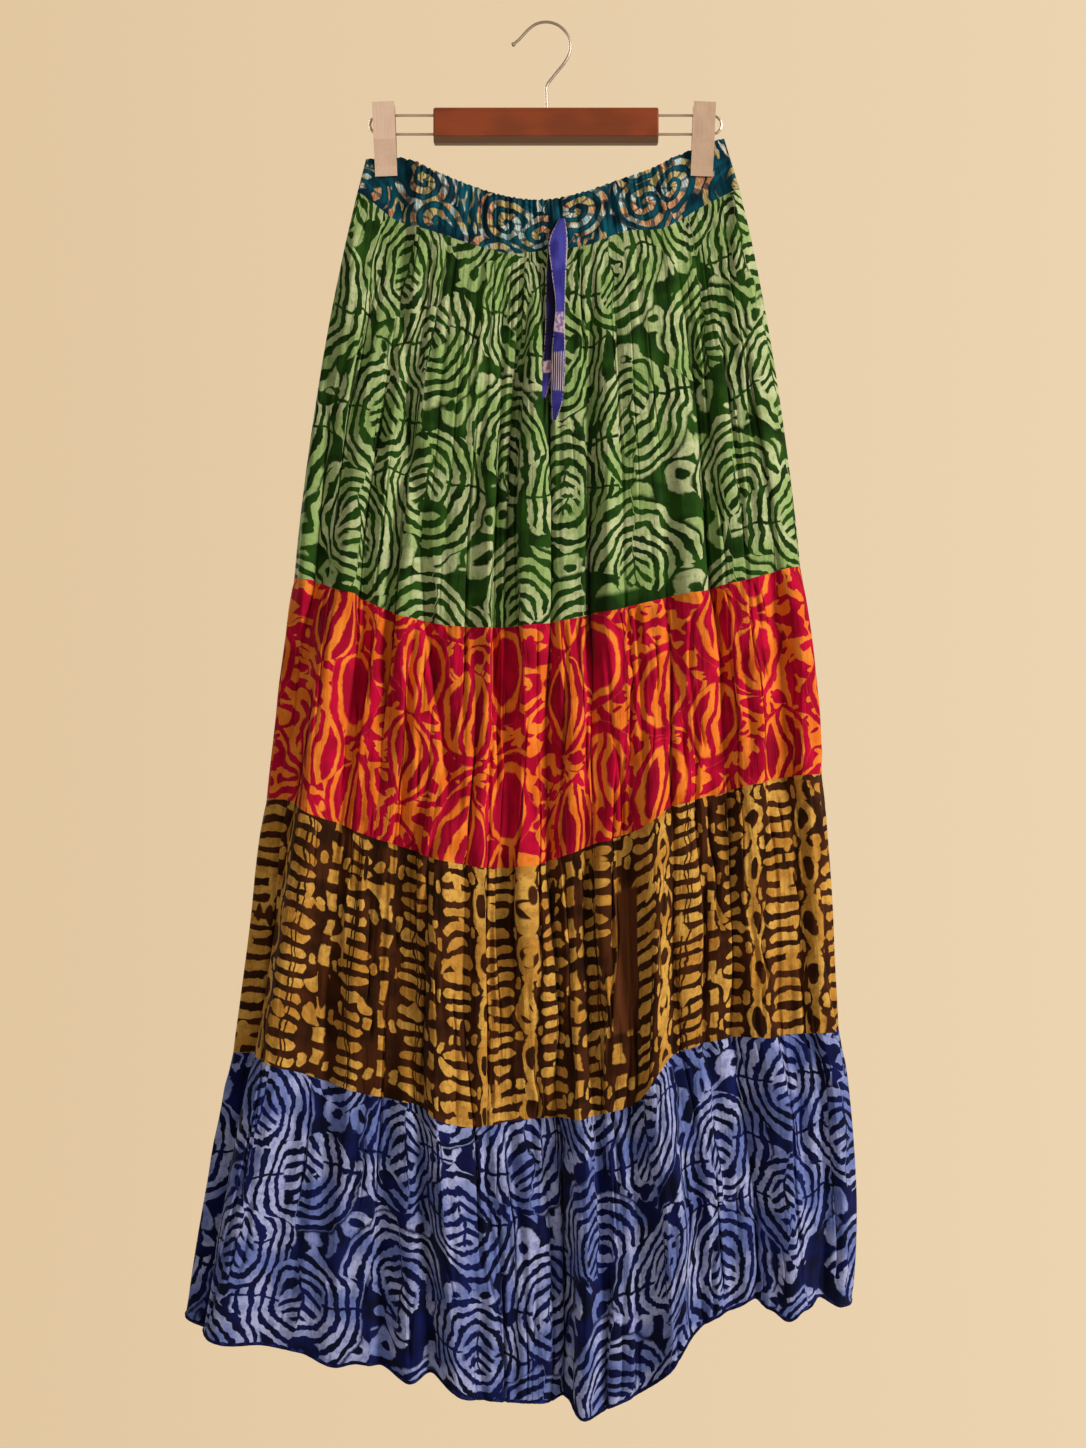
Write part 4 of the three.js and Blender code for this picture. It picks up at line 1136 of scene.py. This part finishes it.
def dress_hanger():
    finishes = {"hanger_bar": varnished_wood("varnished_wood")}
    for start, look in METALS.items():
        finishes[start] = brushed_metal(*look)
    for name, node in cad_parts.items():
        for start, finish in finishes.items():
            if name.startswith(start):
                for slot in node.material_slots:
                    slot.material = finish


# The camera: its place, how far it sees from middle to long edge, and the studio round it.
CAMERA = {"x": -2.55, "y": -2020, "z": -601.5, "long_side": 1231, "to_cloth": 2000}
SENSOR = 36
FLOOR = {"z": -2200, "radius": 3000, "sides": 96, "colours": ((244, 236, 222), (250, 243, 232))}
# The backdrop's colours, painted darker on the left and lighter on the right as if lit from the
# right, and how far across that painted light spreads.
WALL_PAINTED_LIGHT = {"left": (224, 197, 158), "right": (238, 214, 180), "spread": 0.32}


def set_camera():
    data = bpy.data.cameras.new("camera")
    data.sensor_width = SENSOR
    data.lens = SENSOR * CAMERA["to_cloth"] / CAMERA["long_side"]
    data.clip_start, data.clip_end = 0.01, 100
    camera = add_object("camera", data)
    camera.location = [CAMERA[axis] * MM for axis in "xyz"]
    camera.rotation_euler = (math.pi / 2, 0, 0)
    bpy.context.scene.camera = camera


# The area lights: name, place and size in metres, power and colour. All aim at one place.
LIGHTS = [
    ("key", (2.9, -1.8, 0.5), 0.8, 128, (1, 0.95, 0.88)),
    ("fill", (-1.2, -2.6, 0.1), 1.6, 9, (1, 0.96, 0.92)),
    ("rear", (-1.8, 2.2, 0.4), 1.6, 46, (1, 0.95, 0.88)),
]
AIM = (0, 0, -0.6)
ROOM_LIGHT = {"colour": (1, 0.92, 0.8, 1), "strength": 0.19}


def set_light(name, place, size, power, colour):
    data = bpy.data.lights.new(name, "AREA")
    data.size, data.energy, data.color = size, power, colour
    light = add_object(name, data)
    light.location = place
    way = [b - a for a, b in zip(place, AIM)]
    light.rotation_euler = Vector(way).to_track_quat("-Z", "Y").to_euler()


def set_studio():
    world = bpy.data.worlds.new("studio")
    bpy.context.scene.world = world
    world.use_nodes = True
    tree = world.node_tree
    seen = tree.nodes["Background"]
    way = add_node(tree, "TexCoord")
    parts = add_node(tree, "SeparateXYZ")
    # Painted light: the backdrop's colour goes from darker on the left to lighter on the right.
    across = add_node(tree, "MapRange")
    across.inputs["From Min"].default_value = -WALL_PAINTED_LIGHT["spread"]
    across.inputs["From Max"].default_value = WALL_PAINTED_LIGHT["spread"]
    painted_light_backdrop = add_node(tree, "Mix")
    painted_light_backdrop.data_type = "RGBA"
    painted_light_backdrop.inputs[6].default_value = light_of(WALL_PAINTED_LIGHT["left"])
    painted_light_backdrop.inputs[7].default_value = light_of(WALL_PAINTED_LIGHT["right"])
    light = add_node(tree, "Background")
    light.inputs["Color"].default_value = ROOM_LIGHT["colour"]
    light.inputs["Strength"].default_value = ROOM_LIGHT["strength"]
    ray = add_node(tree, "LightPath")
    both = add_node(tree, "MixShader")
    mirrored = add_node(tree, "Math")
    mirrored.operation = "MAXIMUM"
    for start, end in (
        (way.outputs["Generated"], parts.inputs[0]),
        (parts.outputs["X"], across.inputs["Value"]),
        (across.outputs[0], painted_light_backdrop.inputs[0]),
        (painted_light_backdrop.outputs[2], seen.inputs["Color"]),
        (ray.outputs["Is Camera Ray"], mirrored.inputs[0]),
        (ray.outputs["Is Glossy Ray"], mirrored.inputs[1]),
        (mirrored.outputs[0], both.inputs[0]),
        (light.outputs[0], both.inputs[1]),
        (seen.outputs[0], both.inputs[2]),
        (both.outputs[0], tree.nodes["World Output"].inputs["Surface"]),
    ):
        tree.links.new(start, end)
    for lamp in LIGHTS:
        set_light(*lamp)
    bpy.context.scene.view_settings.view_transform = "Standard"


def set_floor():
    mesh = bpy.data.meshes.new("floor")
    sides, radius = FLOOR["sides"], FLOOR["radius"] * MM
    angles = [2 * math.pi * k / sides for k in range(sides)]
    ring = [(radius * math.cos(a), radius * math.sin(a), FLOOR["z"] * MM) for a in angles]
    mesh.from_pydata(ring, [], [list(range(sides))])
    floor = add_object("floor", mesh)
    paint = Paint("floor_paint", roughness=0.9)
    x, y, z = paint.solid_place()
    cloud = paint.noise(x / 400, y / 400, z, detail=2)
    mesh.materials.append(paint.finish(paint.mix(cloud, *FLOOR["colours"])))


set_camera()
set_studio()
set_floor()
dress_hanger()
pieces = dress_cloth()
tie("tie_long_cloth", TIE_LONG, "tie_long", TIE_LONG_LOOK)
tie("tie_short_cloth", TIE_SHORT, "tie_short", TIE_SHORT_LOOK)
for half_name, half_facing, *_ in HALVES:
    hem = rolled_hem(f"hem_{half_name}", pieces[f"tier_4_{half_name}"], half_facing)
